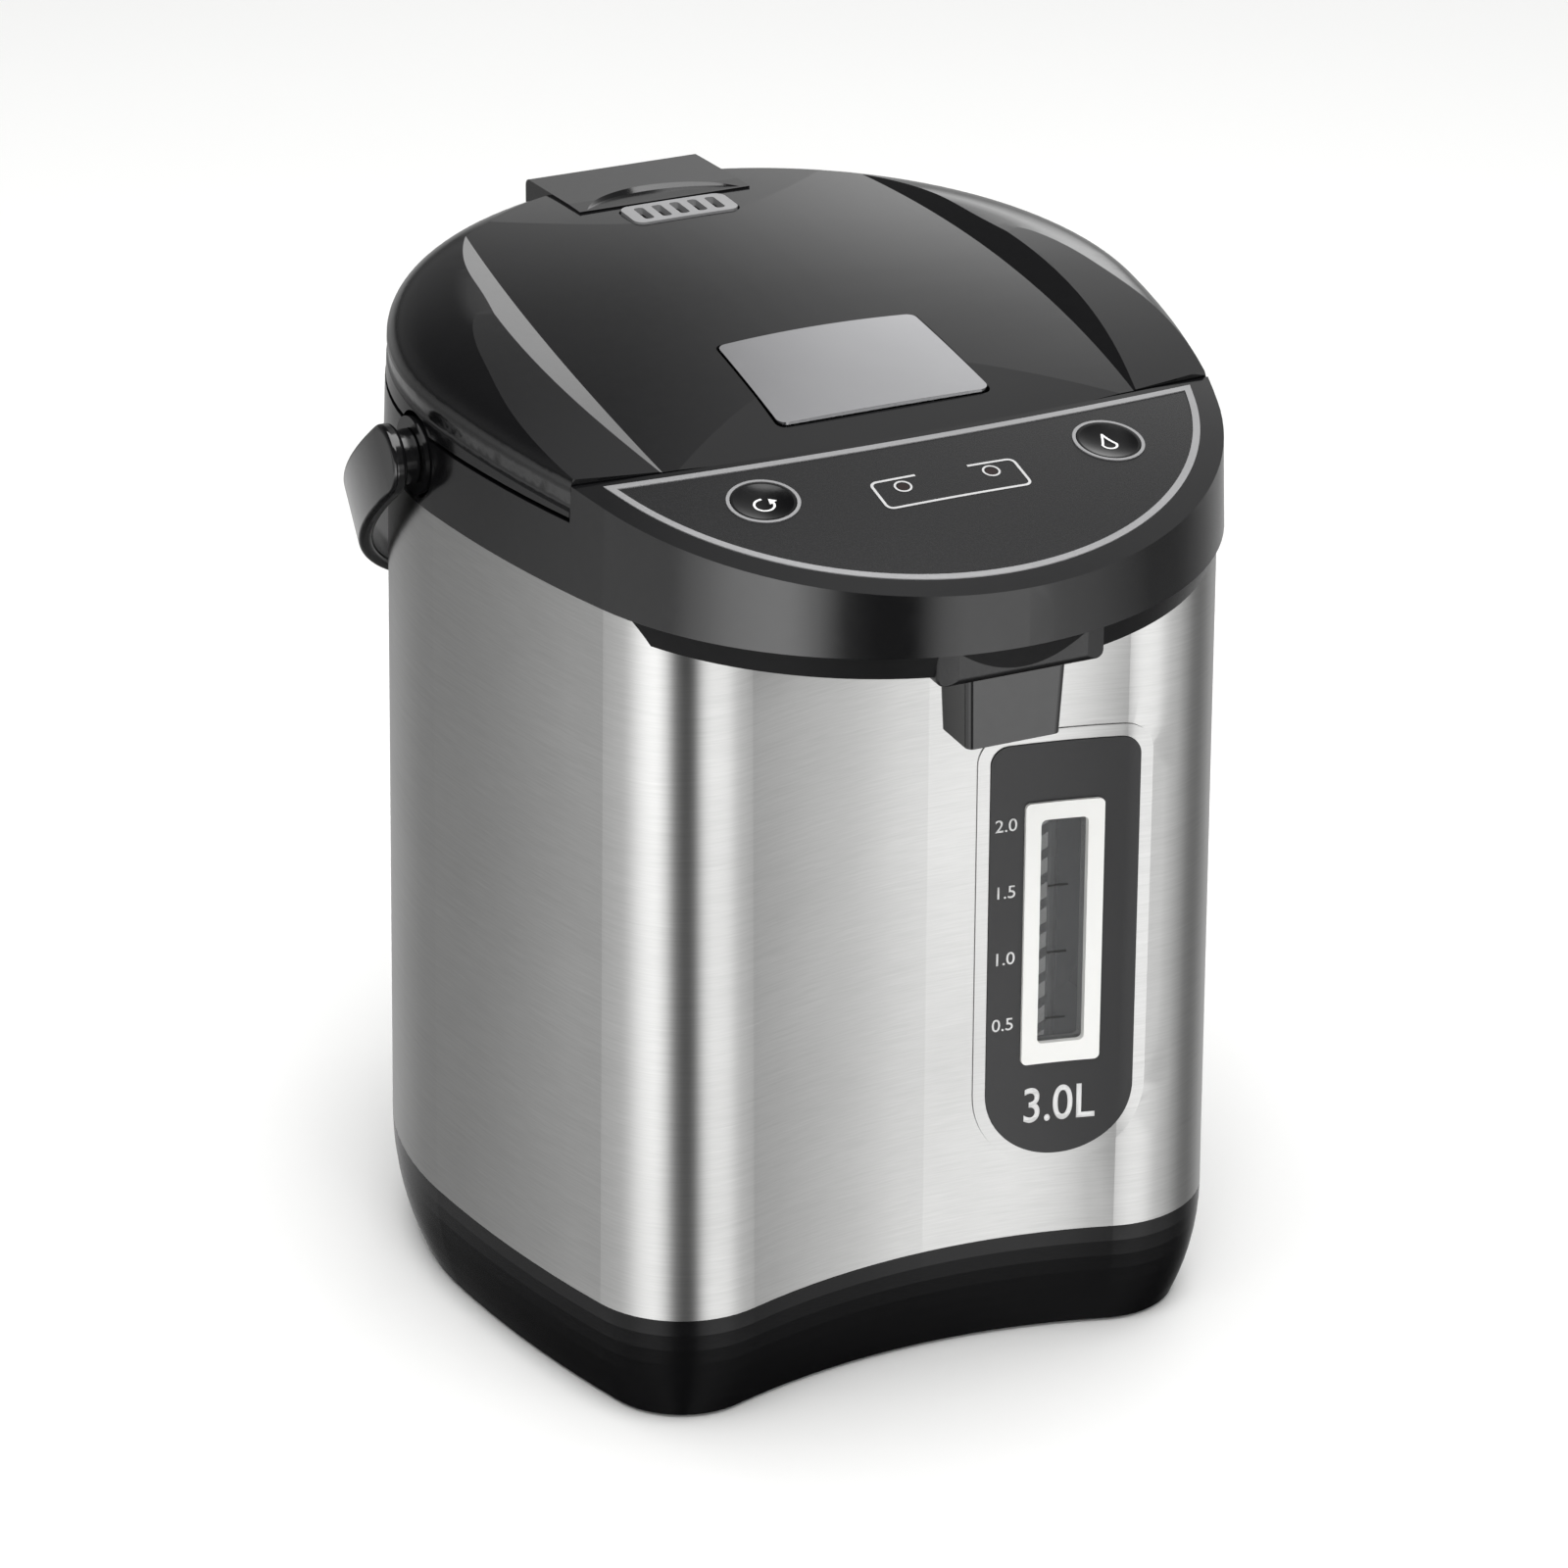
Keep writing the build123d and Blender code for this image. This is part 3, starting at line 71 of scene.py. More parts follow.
def makeFinish(name, look):
    # colour that drifts a little, and a fine grain in the bump and the roughness
    material, tree, shader = startMaterial(name)
    coords = addNode(tree, "ShaderNodeTexCoord")
    stretch = look.get("stretch", (1, 1, 1))
    laid = addNode(tree, "ShaderNodeMapping", {"Scale": stretch}, {"Vector": (coords, "Object")})
    grain = addNode(tree, "ShaderNodeTexNoise",
                    {"Scale": 1 / (look["grain"] * mm), "Detail": 3.0, "Roughness": 0.6},
                    {"Vector": (laid, "Vector")})
    patch = addNode(tree, "ShaderNodeTexNoise",
                    {"Scale": 1 / (look["patch"] * mm), "Detail": 2.0}, {"Vector": (coords, "Object")})
    colour = addNode(tree, "ShaderNodeMix", {"data_type": "RGBA"}, {0: (patch, "Fac")})
    colour.inputs[6].default_value = toLinear(look["colour"])
    colour.inputs[7].default_value = toLinear(look["shade"])
    tree.links.new(colour.outputs[2], shader.inputs["Base Color"])
    rough, spread = look["roughness"], look["spread"]
    matt = addNode(tree, "ShaderNodeMapRange",
                   {"From Min": 0.3, "From Max": 0.7, "To Min": rough - spread, "To Max": rough + spread},
                   {"Value": (grain, "Fac")})
    tree.links.new(matt.outputs["Result"], shader.inputs["Roughness"])
    bump = addNode(tree, "ShaderNodeBump", {"Strength": 1.0, "Distance": look["depth"] * mm},
                   {"Height": (grain, "Fac")})
    tree.links.new(bump.outputs["Normal"], shader.inputs["Normal"])
    for socket, value in look.get("sockets", {}).items():
        shader.inputs[socket].default_value = value
    return material


finishes = {
    # moulded ABS, high gloss, near black; only the finest orange peel breaks its reflections
    "black_plastic": ("glossBlackAbs", dict(colour="#0f0f10", shade="#0c0c0d", roughness=0.13, spread=0.02, grain=3.0,
                                            depth=0.0012, patch=60, sockets={"IOR": 1.54})),
    # moulded ABS of the base, the same black with a little more haze
    "base_plastic": ("baseBlackAbs", dict(colour="#0e0e0f", shade="#0b0b0c", roughness=0.2, spread=0.03, grain=1.2,
                                          depth=0.002, patch=50,
                                          sockets={"IOR": 1.4, "Specular IOR Level": 0.33})),
    # spark-eroded moulding, a soft satin black with a visible grain
    "satin_plastic": ("satinBlackAbs", dict(colour="#161617", shade="#121213", roughness=0.34, spread=0.05,
                                            grain=0.6, depth=0.006, patch=35, sockets={"IOR": 1.5})),
    # printed polycarbonate overlay, dark grey behind a smooth face
    "panel_film": ("printedPolycarbonate", dict(colour="#171718", shade="#141415", roughness=0.27, spread=0.03,
                                                grain=0.8, depth=0.0015, patch=45, sockets={"IOR": 1.46})),
    # vacuum plated ABS, a mirror softened by its moulded surface
    "bright_chrome": ("platedChrome", dict(colour="#e6e6e8", shade="#dcdcdf", roughness=0.13, spread=0.02, grain=2.5,
                                           depth=0.0008, patch=30, sockets={"Metallic": 1.0})),
    # silver lacquer on plastic, flake too fine to see one by one
    "silver_plastic": ("silverLacquer", dict(colour="#a6a6a7", shade="#99999a", roughness=0.34, spread=0.06,
                                             grain=0.5, depth=0.003, patch=20, sockets={"Metallic": 0.55})),
    # matt printed film of the level strip
    "strip_film": ("charcoalFilm", dict(colour="#2a2a2b", shade="#232324", roughness=0.45, spread=0.04, grain=0.7,
                                        depth=0.002, patch=40, sockets={"IOR": 1.5})),
    # moulded white ABS
    "white_frame": ("whiteAbs", dict(colour="#f0f0ee", shade="#e6e6e3", roughness=0.32, spread=0.03, grain=0.8,
                                     depth=0.002, patch=30, sockets={"IOR": 1.54})),
    # vulcanised rubber of the feet
    "black_rubber": ("footRubber", dict(colour="#1f1f1f", shade="#171717", roughness=0.75, spread=0.08, grain=0.5,
                                        depth=0.012, patch=12, sockets={"IOR": 1.52})),
    # translucent silicone rubber of seals and hoses
    "silicone": ("siliconeRubber", dict(colour="#d6d5cf", shade="#c6c5be", roughness=0.5, spread=0.05, grain=1.0,
                                        depth=0.004, patch=15, sockets={"IOR": 1.41, "Subsurface Weight": 0.15})),
    # die-cast aluminium of the heater plate
    "aluminium": ("castAluminium", dict(colour="#b9babc", shade="#9b9c9f", roughness=0.45, spread=0.1, grain=0.7,
                                        depth=0.02, patch=14, sockets={"Metallic": 1.0})),
    # zinc plated steel of screws, pins and springs
    "zinc_screw": ("zincPlate", dict(colour="#aeb0b2", shade="#92969a", roughness=0.32, spread=0.08, grain=0.5,
                                     depth=0.005, patch=5, sockets={"Metallic": 1.0})),
    # plated brass of the inlet pins
    "brass_pin": ("platedBrass", dict(colour="#c9a861", shade="#b28f4a", roughness=0.28, spread=0.05, grain=0.6,
                                      depth=0.003, patch=6, sockets={"Metallic": 1.0})),
    # glass-fibre circuit board under green solder mask
    "board_green": ("solderMask", dict(colour="#1f5a35", shade="#174729", roughness=0.35, spread=0.06, grain=0.7,
                                       depth=0.008, patch=9, sockets={"IOR": 1.5})),
    # galvanised sheet with its cloudy spangle
    "galvanised": ("galvanisedSheet", dict(colour="#a7abad", shade="#83888c", roughness=0.4, spread=0.12, grain=5.0,
                                           depth=0.004, patch=9, sockets={"Metallic": 1.0})),
    # moulded grey nylon of the pump
    "grey_plastic": ("greyNylon", dict(colour="#7d7d7f", shade="#6c6c6e", roughness=0.5, spread=0.05, grain=0.6,
                                       depth=0.006, patch=20, sockets={"IOR": 1.53})),
    # deep drawn and brightened stainless steel of the pot, fine rings from the press
    "pot_steel": ("drawnStainless", dict(colour="#c0c0be", shade="#b9b9b7", roughness=0.27, spread=0.02, grain=0.8,
                                         depth=0.003, patch=30, stretch=(0.03, 0.03, 1),
                                         sockets={"Metallic": 1.0})),
    # tinted acrylic of the window, thin enough to see through
    "clear_lens": ("smokedAcrylic", dict(colour="#333537", shade="#2c2e30", roughness=0.08, spread=0.01,
                                         grain=4.0, depth=0.0005, patch=20, sockets={"IOR": 1.49, "Alpha": 0.42})),
    # borosilicate tube that shows the level
    "tube_glass": ("levelTubeGlass", dict(colour="#e4ebea", shade="#d8e2e1", roughness=0.03, spread=0.01, grain=5.0,
                                          depth=0.0005, patch=20, sockets={"IOR": 1.47, "Transmission Weight": 1.0})),
    # red acrylic over the lamps, dark while they are off
    "lamp_lens": ("redLampAcrylic", dict(colour="#1d0d0c", shade="#160908", roughness=0.12, spread=0.02, grain=2.0,
                                         depth=0.001, patch=3, sockets={"IOR": 1.49})),
}


def makeBrushedSteel(look):
    # rolled stainless sheet, brushed along the sheet: long grooves across a band of light
    material, tree, shader = startMaterial("brushedStainless")
    coords = addNode(tree, "ShaderNodeTexCoord")
    length, width = 1 / (look["grooveLength"] * mm), 1 / (look["grooveWidth"] * mm)
    laid = addNode(tree, "ShaderNodeMapping", {"Scale": (length, length, width)}, {"Vector": (coords, "Object")})
    grooves = addNode(tree, "ShaderNodeTexNoise", {"Scale": 1.0, "Detail": 4.0, "Roughness": 0.7},
                      {"Vector": (laid, "Vector")})
    haze = addNode(tree, "ShaderNodeTexNoise", {"Scale": 1 / (look["haze"] * mm), "Detail": 2.0},
                   {"Vector": (coords, "Object")})
    colour = addNode(tree, "ShaderNodeMix", {"data_type": "RGBA"}, {0: (grooves, "Fac")})
    colour.inputs[6].default_value = toLinear(look["dark"])
    colour.inputs[7].default_value = toLinear(look["light"])
    tree.links.new(colour.outputs[2], shader.inputs["Base Color"])
    rough = look["roughness"]
    spread = addNode(tree, "ShaderNodeMapRange",
                     {"To Min": rough - look["smoother"], "To Max": rough + look["rougher"]},
                     {"Value": (haze, "Fac")})
    tree.links.new(spread.outputs["Result"], shader.inputs["Roughness"])
    bump = addNode(tree, "ShaderNodeBump", {"Strength": 1.0, "Distance": look["grooveDepth"] * mm},
                   {"Height": (grooves, "Fac")})
    tree.links.new(bump.outputs["Normal"], shader.inputs["Normal"])
    along = addNode(tree, "ShaderNodeTangent", {"direction_type": "RADIAL", "axis": "Z"})
    tree.links.new(along.outputs["Tangent"], shader.inputs["Tangent"])
    shader.inputs["Metallic"].default_value = 1.0
    shader.inputs["Anisotropic"].default_value = look["anisotropy"]
    shader.inputs["Anisotropic Rotation"].default_value = 0.25      # light spreads across the grooves
    return material


def makeHatchedPrint(look):
    # slanted bars printed on white film, seen beside the level tube
    material, tree, shader = startMaterial("hatchedFilm")
    coords = addNode(tree, "ShaderNodeTexCoord")
    turned = addNode(tree, "ShaderNodeMapping", {"Rotation": (0, look["slant"], 0)}, {"Vector": (coords, "Object")})
    parts = addNode(tree, "ShaderNodeSeparateXYZ", links={"Vector": (turned, "Vector")})
    count = addNode(tree, "ShaderNodeMath", {"operation": "MULTIPLY", 1: 1 / (look["pitch"] * mm)}, {0: (parts, "Z")})
    cycle = addNode(tree, "ShaderNodeMath", {"operation": "FRACT"}, {0: (count, "Value")})
    bar = addNode(tree, "ShaderNodeMath", {"operation": "GREATER_THAN", 1: look["share"]}, {0: (cycle, "Value")})
    colour = addNode(tree, "ShaderNodeMix", {"data_type": "RGBA"}, {0: (bar, "Value")})
    colour.inputs[6].default_value = toLinear(look["ink"])
    colour.inputs[7].default_value = toLinear(look["film"])
    tree.links.new(colour.outputs[2], shader.inputs["Base Color"])
    shader.inputs["Roughness"].default_value = look["roughness"]
    return material


materials = {slot: makeFinish(name, look) for slot, (name, look) in finishes.items()}
steel = dict(grooveLength=14, grooveWidth=0.5, grooveDepth=0.004, haze=60, dark="#a9a9a8", light="#c6c6c5",
             roughness=0.3, smoother=0.04, rougher=0.05, anisotropy=0.75)
materials["steel_skin"] = makeBrushedSteel(steel)
materials["scale_print"] = makeHatchedPrint(dict(slant=math.radians(32), pitch=6.2, share=0.4, roughness=0.4,
                                                 ink="#3b3b3c", film="#f6f6f4"))
# screen ink, white, slightly raised
materials["white_ink"] = makeFinish("whiteInk", dict(colour="#e6e6e6", shade="#dcdcdc", roughness=0.5, spread=0.05,
                                                     grain=0.4, depth=0.002, patch=6))
materials["grey_ink"] = makeFinish("silverInk", dict(colour="#b9b9b9", shade="#adadad", roughness=0.45, spread=0.05,
                                                     grain=0.4, depth=0.002, patch=6))
materials["black_ink"] = makeFinish("blackInk", dict(colour="#1c1c1c", shade="#151515", roughness=0.5, spread=0.05,
                                                     grain=0.4, depth=0.002, patch=6))
# grey satin moulding of the steam vent
materials["vent_grey"] = makeFinish("greySatinAbs", dict(colour="#8f8f90", shade="#808081", roughness=0.38,
                                                         spread=0.05, grain=0.6, depth=0.004, patch=10))
# polished black caps of the two buttons
materials["button_black"] = makeFinish("buttonBlackAbs", dict(colour="#0a0a0b", shade="#080809", roughness=0.16,
                                                              spread=0.02, grain=2.0, depth=0.001, patch=8,
                                                              sockets={"IOR": 1.42, "Specular IOR Level": 0.35}))


def dressNodes():
    for name, piece in nodes.items():
        piece.data.materials.clear()
        piece.data.materials.append(materials[slotOf[name]])
    nodes["vent_grille"].data.materials[0] = materials["vent_grey"]
    for name in ("reboil_button", "dispense_button"):
        nodes[name].data.materials[0] = materials["button_black"]


dressNodes()
print("materials on", len(nodes), "nodes")


def deselectAll():
    if bpy.context.object and bpy.context.object.mode != "OBJECT":
        bpy.ops.object.mode_set(mode="OBJECT")
    bpy.ops.object.select_all(action="DESELECT")


def activate(piece):
    deselectAll()
    piece.select_set(True)
    bpy.context.view_layer.objects.active = piece


def applyAll(piece):
    activate(piece)
    for modifier in list(piece.modifiers):
        bpy.ops.object.modifier_apply(modifier=modifier.name)


def settle(piece):
    # place, turn and size go into the mesh, so that the object stays at the origin
    activate(piece)
    bpy.ops.object.transform_apply(location=True, rotation=True, scale=True)


def pickFaces(piece, test):
    # selects faces of the piece in edit mode by their centre and normal
    bpy.ops.object.mode_set(mode="OBJECT")
    for vertex in piece.data.vertices:
        vertex.select = False
    for edge in piece.data.edges:
        edge.select = False
    for face in piece.data.polygons:
        face.select = test(face.center, face.normal)
    bpy.ops.object.mode_set(mode="EDIT")
    bpy.ops.mesh.select_mode(type="FACE")


def joinPieces(pieces, name):
    deselectAll()
    for piece in pieces:
        piece.select_set(True)
    bpy.context.view_layer.objects.active = pieces[0]
    if len(pieces) > 1:
        bpy.ops.object.join()
    pieces[0].name = name
    pieces[0].data.name = name
    return pieces[0]


def finishPiece(piece, body, material):
    piece.data.materials.clear()
    piece.data.materials.append(material)
    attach(piece, body)
    print("made", piece.name, len(piece.data.polygons), "faces")
    return piece


printLook = dict(lift=0.06, thickness=0.08)      # ink stands this far off, in millimetres


def printOn(piece, carrier, axis):
    # lays a flat drawing on a curved node and gives it the thickness of ink
    wrap = piece.modifiers.new("wrap", "SHRINKWRAP")
    wrap.wrap_method = "PROJECT"
    wrap.target = nodes[carrier]
    wrap.use_project_x = wrap.use_project_y = wrap.use_project_z = False
    setattr(wrap, "use_project_" + axis, True)
    wrap.use_positive_direction = axis == "y"
    wrap.use_negative_direction = axis == "z"
    wrap.offset = printLook["lift"] * mm
    thick = piece.modifiers.new("ink", "SOLIDIFY")
    thick.thickness = printLook["thickness"] * mm
    thick.offset = 1.0
    applyAll(piece)


# Level numbers beside the window, and the size below it
# sink is how far the foot of a number lies below its level
numberLook = dict(x=21.9, size=5.2, before=-130, sink=1.8, stroke=0.003,
                  places=((157.4, "2.0"), (137.9, "1.5"), (118.3, "1.0"), (98.7, "0.5")))
sizeLook = dict(x=37.6, z=68.3, size=14.6, stroke=0.008, squeeze=0.8, text="3.0L")


def addNumber(text, x, z, look, squeeze):
    deselectAll()
    bpy.ops.object.text_add(location=(x * mm, numberLook["before"] * mm, z * mm), rotation=(math.pi / 2, 0, 0))
    piece = bpy.context.object
    piece.data.body = text
    piece.data.size = look["size"] * mm
    piece.data.align_x = "CENTER"
    piece.data.offset = look["stroke"] * look["size"] * mm        # thicker strokes
    piece.scale.x = squeeze
    bpy.ops.object.convert(target="MESH")
    piece = bpy.context.object
    settle(piece)
    return piece


def addLevelNumbers():
    look = numberLook
    rows = [addNumber(text, look["x"], z - look["sink"], look, 1.0) for z, text in look["places"]]
    rows.append(addNumber(sizeLook["text"], sizeLook["x"], sizeLook["z"], sizeLook, sizeLook["squeeze"]))
    piece = joinPieces(rows, "level_numbers")
    printOn(piece, "level_panel", "y")
    finishPiece(piece, "body", materials["white_ink"])


addLevelNumbers()


# Dark ticks on the window lens, one at each number
tickLook = dict(x=36.6, length=5.4, width=0.55)


def addLevelTicks():
    ticks = []
    for z, _ in numberLook["places"]:
        deselectAll()
        bpy.ops.mesh.primitive_plane_add(size=1, location=(tickLook["x"] * mm, numberLook["before"] * mm, z * mm),
                                         rotation=(math.pi / 2, 0, 0))
        tick = bpy.context.object
        tick.scale = (tickLook["length"] * mm, tickLook["width"] * mm, 1)
        settle(tick)
        bpy.ops.object.mode_set(mode="EDIT")
        bpy.ops.mesh.subdivide(number_cuts=3)
        bpy.ops.object.mode_set(mode="OBJECT")
        ticks.append(tick)
    piece = joinPieces(ticks, "level_ticks")
    printOn(piece, "window_lens", "y")
    finishPiece(piece, "body", materials["black_ink"])


addLevelTicks()


# Outline round the two lamps and a ring round each of them
outlineLook = dict(half=20.6, back=-99.0, front=-111.3, line=0.75, corner=2.2, gap=7.4, above=300,
                   cutEnd=18, cutStep=3)
lampRingLook = dict(x=12.5, y=-103.0, radius=2.4, line=0.55)


def openRing(piece, line):
    # leaves only a band of this width along the edge of a flat face
    activate(piece)
    bpy.ops.object.mode_set(mode="EDIT")
    bpy.ops.mesh.select_all(action="SELECT")
    bpy.ops.mesh.inset(thickness=line * mm)
    bpy.ops.mesh.delete(type="FACE")
    bpy.ops.object.mode_set(mode="OBJECT")


def addPanelMarks():
    look = outlineLook
    middle = (look["back"] + look["front"]) / 2
    deselectAll()
    bpy.ops.mesh.primitive_plane_add(size=1, location=(0, middle * mm, look["above"] * mm))
    outline = bpy.context.object
    outline.scale = (2 * look["half"] * mm, (look["back"] - look["front"]) * mm, 1)
    settle(outline)
    bpy.ops.object.mode_set(mode="EDIT")
    bpy.ops.mesh.select_all(action="SELECT")
    bpy.ops.mesh.bevel(offset=look["corner"] * mm, segments=6, affect="VERTICES")
    openRing(outline, look["line"])
    bpy.ops.object.mode_set(mode="EDIT")
    for side in (-1, 1):
        bpy.ops.mesh.select_all(action="SELECT")
        bpy.ops.mesh.bisect(plane_co=(side * look["gap"] * mm, 0, 0), plane_no=(1, 0, 0))
    # more points along the line, so that it follows the dome
    for x in range(-look["cutEnd"], look["cutEnd"] + 1, look["cutStep"]):
        bpy.ops.mesh.select_all(action="SELECT")
        bpy.ops.mesh.bisect(plane_co=(x * mm, 0, 0), plane_no=(1, 0, 0))
    pickFaces(outline, lambda centre, normal: abs(centre.x) < look["gap"] * mm and centre.y > middle * mm)
    bpy.ops.mesh.delete(type="FACE")
    bpy.ops.object.mode_set(mode="OBJECT")
    marks = [outline]
    for side in (-1, 1):
        deselectAll()
        bpy.ops.mesh.primitive_circle_add(vertices=40, radius=lampRingLook["radius"] * mm, fill_type="NGON",
                                          location=(side * lampRingLook["x"] * mm, lampRingLook["y"] * mm,
                                                    look["above"] * mm))
        ring = bpy.context.object
        settle(ring)
        openRing(ring, lampRingLook["line"])
        marks.append(ring)
    piece = joinPieces(marks, "panel_marks")
    printOn(piece, "control_panel", "z")
    finishPiece(piece, "body", materials["grey_ink"])


addPanelMarks()


# A drop on one button and a turning arrow on the other
symbolLook = dict(x=49.0, y=-98.2, drop=2.3, point=2.5, pinch=0.62, arrow=2.9, line=0.6, head=1.35,
                  gapStart=20, gapEnd=80)          # the gap of the arrow's ring, in degrees


def addDropSymbol():
    look = symbolLook
    middle = Vector((look["x"] * mm, look["y"] * mm, outlineLook["above"] * mm))
    deselectAll()
    bpy.ops.mesh.primitive_circle_add(vertices=48, radius=look["drop"] * mm, fill_type="NGON", location=middle)
    drop = bpy.context.object
    settle(drop)
    for vertex in drop.data.vertices:
        # the upper half narrows toward a point
        side, up = vertex.co.x - middle.x, vertex.co.y - middle.y
        if up > 0:
            part = up / (look["drop"] * mm)
            vertex.co.x = middle.x + side * (1 - look["pinch"] * part)
            vertex.co.y = middle.y + up * (1 + look["point"] / look["drop"] * part)
    openRing(drop, look["line"])
    piece = joinPieces([drop], "drop_symbol")
    printOn(piece, "dispense_button", "z")
    finishPiece(piece, "dispense_key", materials["white_ink"])


def addTurnSymbol():
    look = symbolLook
    centre = Vector((-look["x"] * mm, look["y"] * mm, outlineLook["above"] * mm))
    deselectAll()
    bpy.ops.mesh.primitive_circle_add(vertices=48, radius=look["arrow"] * mm, fill_type="NGON", location=centre)
    ring = bpy.context.object
    settle(ring)
    openRing(ring, look["line"])

    def inGap(place, normal):
        angle = math.degrees(math.atan2(place.y - centre.y, place.x - centre.x))
        return look["gapStart"] < angle < look["gapEnd"]

    pickFaces(ring, inGap)
    bpy.ops.mesh.delete(type="FACE")
    bpy.ops.object.mode_set(mode="OBJECT")
    start = math.radians(look["gapStart"])
    reach = (look["arrow"] - look["line"] / 2) * mm
    tip = centre + Vector((math.cos(start), math.sin(start), 0)) * reach
    deselectAll()
    bpy.ops.mesh.primitive_circle_add(vertices=3, radius=look["head"] * mm, fill_type="NGON", location=tip,
                                      rotation=(0, 0, start))
    head = bpy.context.object
    settle(head)
    piece = joinPieces([ring, head], "turn_symbol")
    printOn(piece, "reboil_button", "z")
    finishPiece(piece, "reboil_key", materials["white_ink"])


addDropSymbol()
addTurnSymbol()


# Floor, light and camera
roomLook = dict(floor=14.0, floorColour="#f4f4f3", aim=0.13)      # the softboxes look at this height


def addFloor():
    deselectAll()
    bpy.ops.mesh.primitive_plane_add(size=roomLook["floor"], location=(0, 0, 0))
    floor = bpy.context.object
    floor.name = "floor"
    floor.data.materials.append(makeFinish("paleFloor", dict(
        colour=roomLook["floorColour"], shade="#f1f1f0", roughness=0.7, spread=0.05, grain=4.0, depth=0.001,
        patch=400)))
    floor.visible_glossy = False        # the pot mirrors the studio only


def addSoftbox(name, azimuth, height, distance, size, power, gloss=True):
    # azimuth counts from +X toward +Y; the box looks at the middle of the pot
    angle = math.radians(azimuth)
    place = Vector((math.cos(angle) * distance, math.sin(angle) * distance, height))
    light = bpy.data.lights.new(name, "AREA")
    light.shape = "RECTANGLE"
    light.size, light.size_y = size
    light.energy = power
    box = bpy.data.objects.new(name, light)
    bpy.context.scene.collection.objects.link(box)
    aim = (Vector((0, 0, roomLook["aim"])) - place).to_track_quat("-Z", "Y").to_matrix().to_4x4()
    box.matrix_world = Matrix.Translation(place) @ aim
    box.visible_camera = False
    box.visible_glossy = gloss
    return box


# Light that reaches the pot from each side, as azimuth from +X toward +Y and brightness
sideLight = ((-180, 0.48), (-170, 0.54), (-158, 0.8), (-143, 0.95), (-131, 0.7), (-122, 0.16), (-113, 0.05),
             (-101, 0.05), (-92, 0.78), (-84, 1.0), (-64, 0.92), (-52, 0.58), (-38, 0.44), (-31, 0.34), (-14, 0.13),
             (1, 0.1), (31, 0.2), (90, 0.18), (120, 0.14), (134, 0.18), (143, 0.26), (155, 0.39), (172, 0.46),
             (180, 0.48))
sideHeights = ((-1.0, 0.04), (-0.72, 0.06), (-0.58, 0.2), (-0.5, 0.7), (-0.43, 1.0), (-0.36, 0.5), (-0.28, 0.45),
               (-0.2, 0.62), (-0.1, 0.62), (-0.02, 0.5), (0.05, 0.0), (1.0, 0.0))
edgeLight = ((-180, 0.0), (-172, 0.4), (-160, 0.8), (-148, 1.0), (-139, 1.0), (-130, 0.4), (-124, 0.0), (180, 0.0))
edgeHeights = ((-1.0, 0.0), (-0.42, 0.0), (-0.37, 1.0), (-0.25, 1.0), (-0.18, 0.0), (1.0, 0.0))
backLight = ((-180, 0.1), (-130, 0.1), (-40, 0.2), (20, 0.35), (44, 0.85), (55, 1.0), (61, 0.75), (66, 0.3),
             (75, 0.09), (120, 0.08), (180, 0.1))
backHeights = ((-1.0, 0.0), (-0.02, 0.0), (0.06, 0.5), (0.17, 1.0), (0.33, 0.85), (0.48, 0.42), (0.6, 0.28),
               (0.75, 0.24), (1.0, 0.3))


def addBand(tree, around, upward, sides, heights, strength):
    # brightness by azimuth times brightness by height
    def ramp(value, stops, low, high):
        curve = addNode(tree, "ShaderNodeValToRGB", links={"Fac": (value, "Value")})
        marks = curve.color_ramp.elements
        while len(marks) < len(stops):
            marks.new(1.0)
        for mark, (place, level) in zip(marks, stops):
            mark.position = (place - low) / (high - low)
            mark.color = (level, level, level, 1.0)
        return curve
    side = ramp(around, sides, -180, 180)
    height = ramp(upward, heights, -1, 1)
    both = addNode(tree, "ShaderNodeMath", {"operation": "MULTIPLY"}, {0: (side, "Color"), 1: (height, "Color")})
    return addNode(tree, "ShaderNodeMath", {"operation": "MULTIPLY", 1: strength}, {0: (both, "Value")})


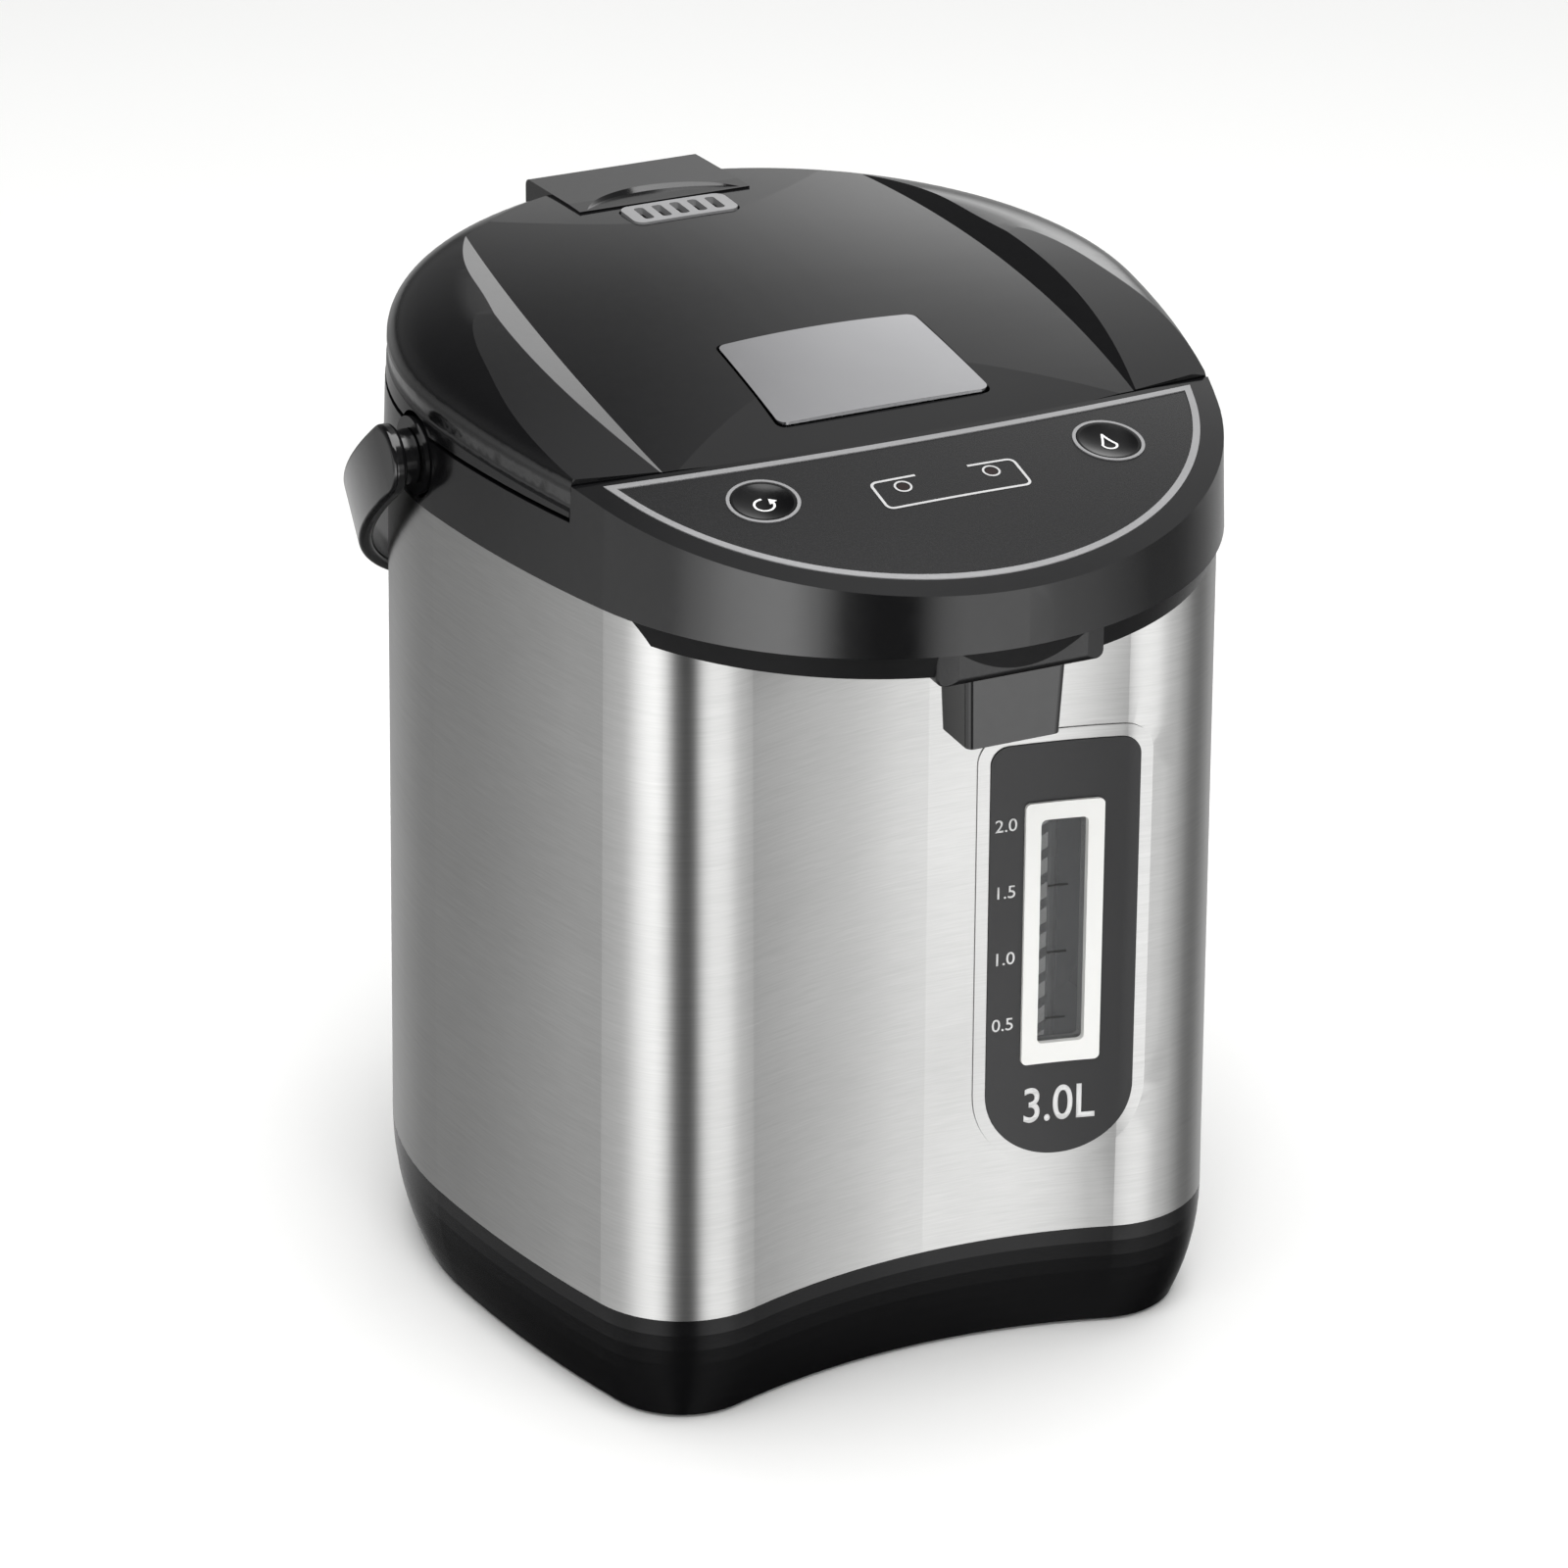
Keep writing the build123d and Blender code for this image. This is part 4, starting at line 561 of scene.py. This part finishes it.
def addWorld(look):
    # studio of soft boxes at the sides, a darker gap between them and one strip of light behind
    world = bpy.data.worlds.new("studio")
    bpy.context.scene.world = world
    world.use_nodes = True
    tree = world.node_tree
    tree.nodes.clear()
    coords = addNode(tree, "ShaderNodeTexCoord")
    parts = addNode(tree, "ShaderNodeSeparateXYZ", links={"Vector": (coords, "Generated")})
    turn = addNode(tree, "ShaderNodeMath", {"operation": "ARCTAN2"}, {0: (parts, "Y"), 1: (parts, "X")})
    around = addNode(tree, "ShaderNodeMath", {"operation": "MULTIPLY_ADD", 1: 0.5 / math.pi, 2: 0.5},
                     {0: (turn, "Value")})
    upward = addNode(tree, "ShaderNodeMath", {"operation": "MULTIPLY_ADD", 1: 0.5, 2: 0.5}, {0: (parts, "Z")})
    low = addBand(tree, around, upward, sideLight, sideHeights, look["sides"])
    high = addBand(tree, around, upward, backLight, backHeights, look["back"])
    edge = addBand(tree, around, upward, edgeLight, edgeHeights, look["edge"])
    pair = addNode(tree, "ShaderNodeMath", {"operation": "ADD"}, {0: (low, "Value"), 1: (high, "Value")})
    level = addNode(tree, "ShaderNodeMath", {"operation": "ADD"}, {0: (pair, "Value"), 1: (edge, "Value")})
    glow = addNode(tree, "ShaderNodeBackground", {"Color": (1, 1, 1, 1)}, {"Strength": (level, "Value")})
    addNode(tree, "ShaderNodeOutputWorld", links={"Surface": (glow, "Background")})


cameraLook = dict(azimuth=-25.2565, elevation=25.458, roll=0.442, across=2.197, rise=118.55, distance=1868.6,
                  lens=151.135, shift=0.0022, sensor=36, near=0.05, far=40)


def addCamera():
    look = cameraLook
    turn, lift, roll = (math.radians(look[key]) for key in ("azimuth", "elevation", "roll"))
    right = Vector((math.cos(turn), math.sin(turn), 0))
    back = Vector((math.sin(turn) * math.cos(lift), -math.cos(turn) * math.cos(lift), math.sin(lift)))
    up = back.cross(right)
    place = (right * look["across"] + up * look["rise"] + back * look["distance"]) * mm
    tiltedRight = right * math.cos(roll) + up * math.sin(roll)
    tiltedUp = up * math.cos(roll) - right * math.sin(roll)
    camera = bpy.data.objects.new("camera", bpy.data.cameras.new("camera"))
    bpy.context.scene.collection.objects.link(camera)
    axes = Matrix((tiltedRight, tiltedUp, back)).transposed().to_4x4()
    camera.matrix_world = Matrix.Translation(place) @ axes
    camera.data.sensor_width = look["sensor"]
    camera.data.lens = look["lens"]
    camera.data.shift_x = look["shift"]
    camera.data.clip_start, camera.data.clip_end = look["near"], look["far"]
    bpy.context.scene.camera = camera


addFloor()
addWorld(dict(sides=3.8, back=2.2, edge=1.9))
addSoftbox("topBox", azimuth=240, height=2.3, distance=0.3, size=(2.4, 2.4), power=84)
addSoftbox("frontFill", azimuth=250, height=1.3, distance=2.2, size=(1.8, 1.2), power=20, gloss=False)
addCamera()
bpy.context.scene.view_settings.view_transform = "Standard"
print("stage ready")
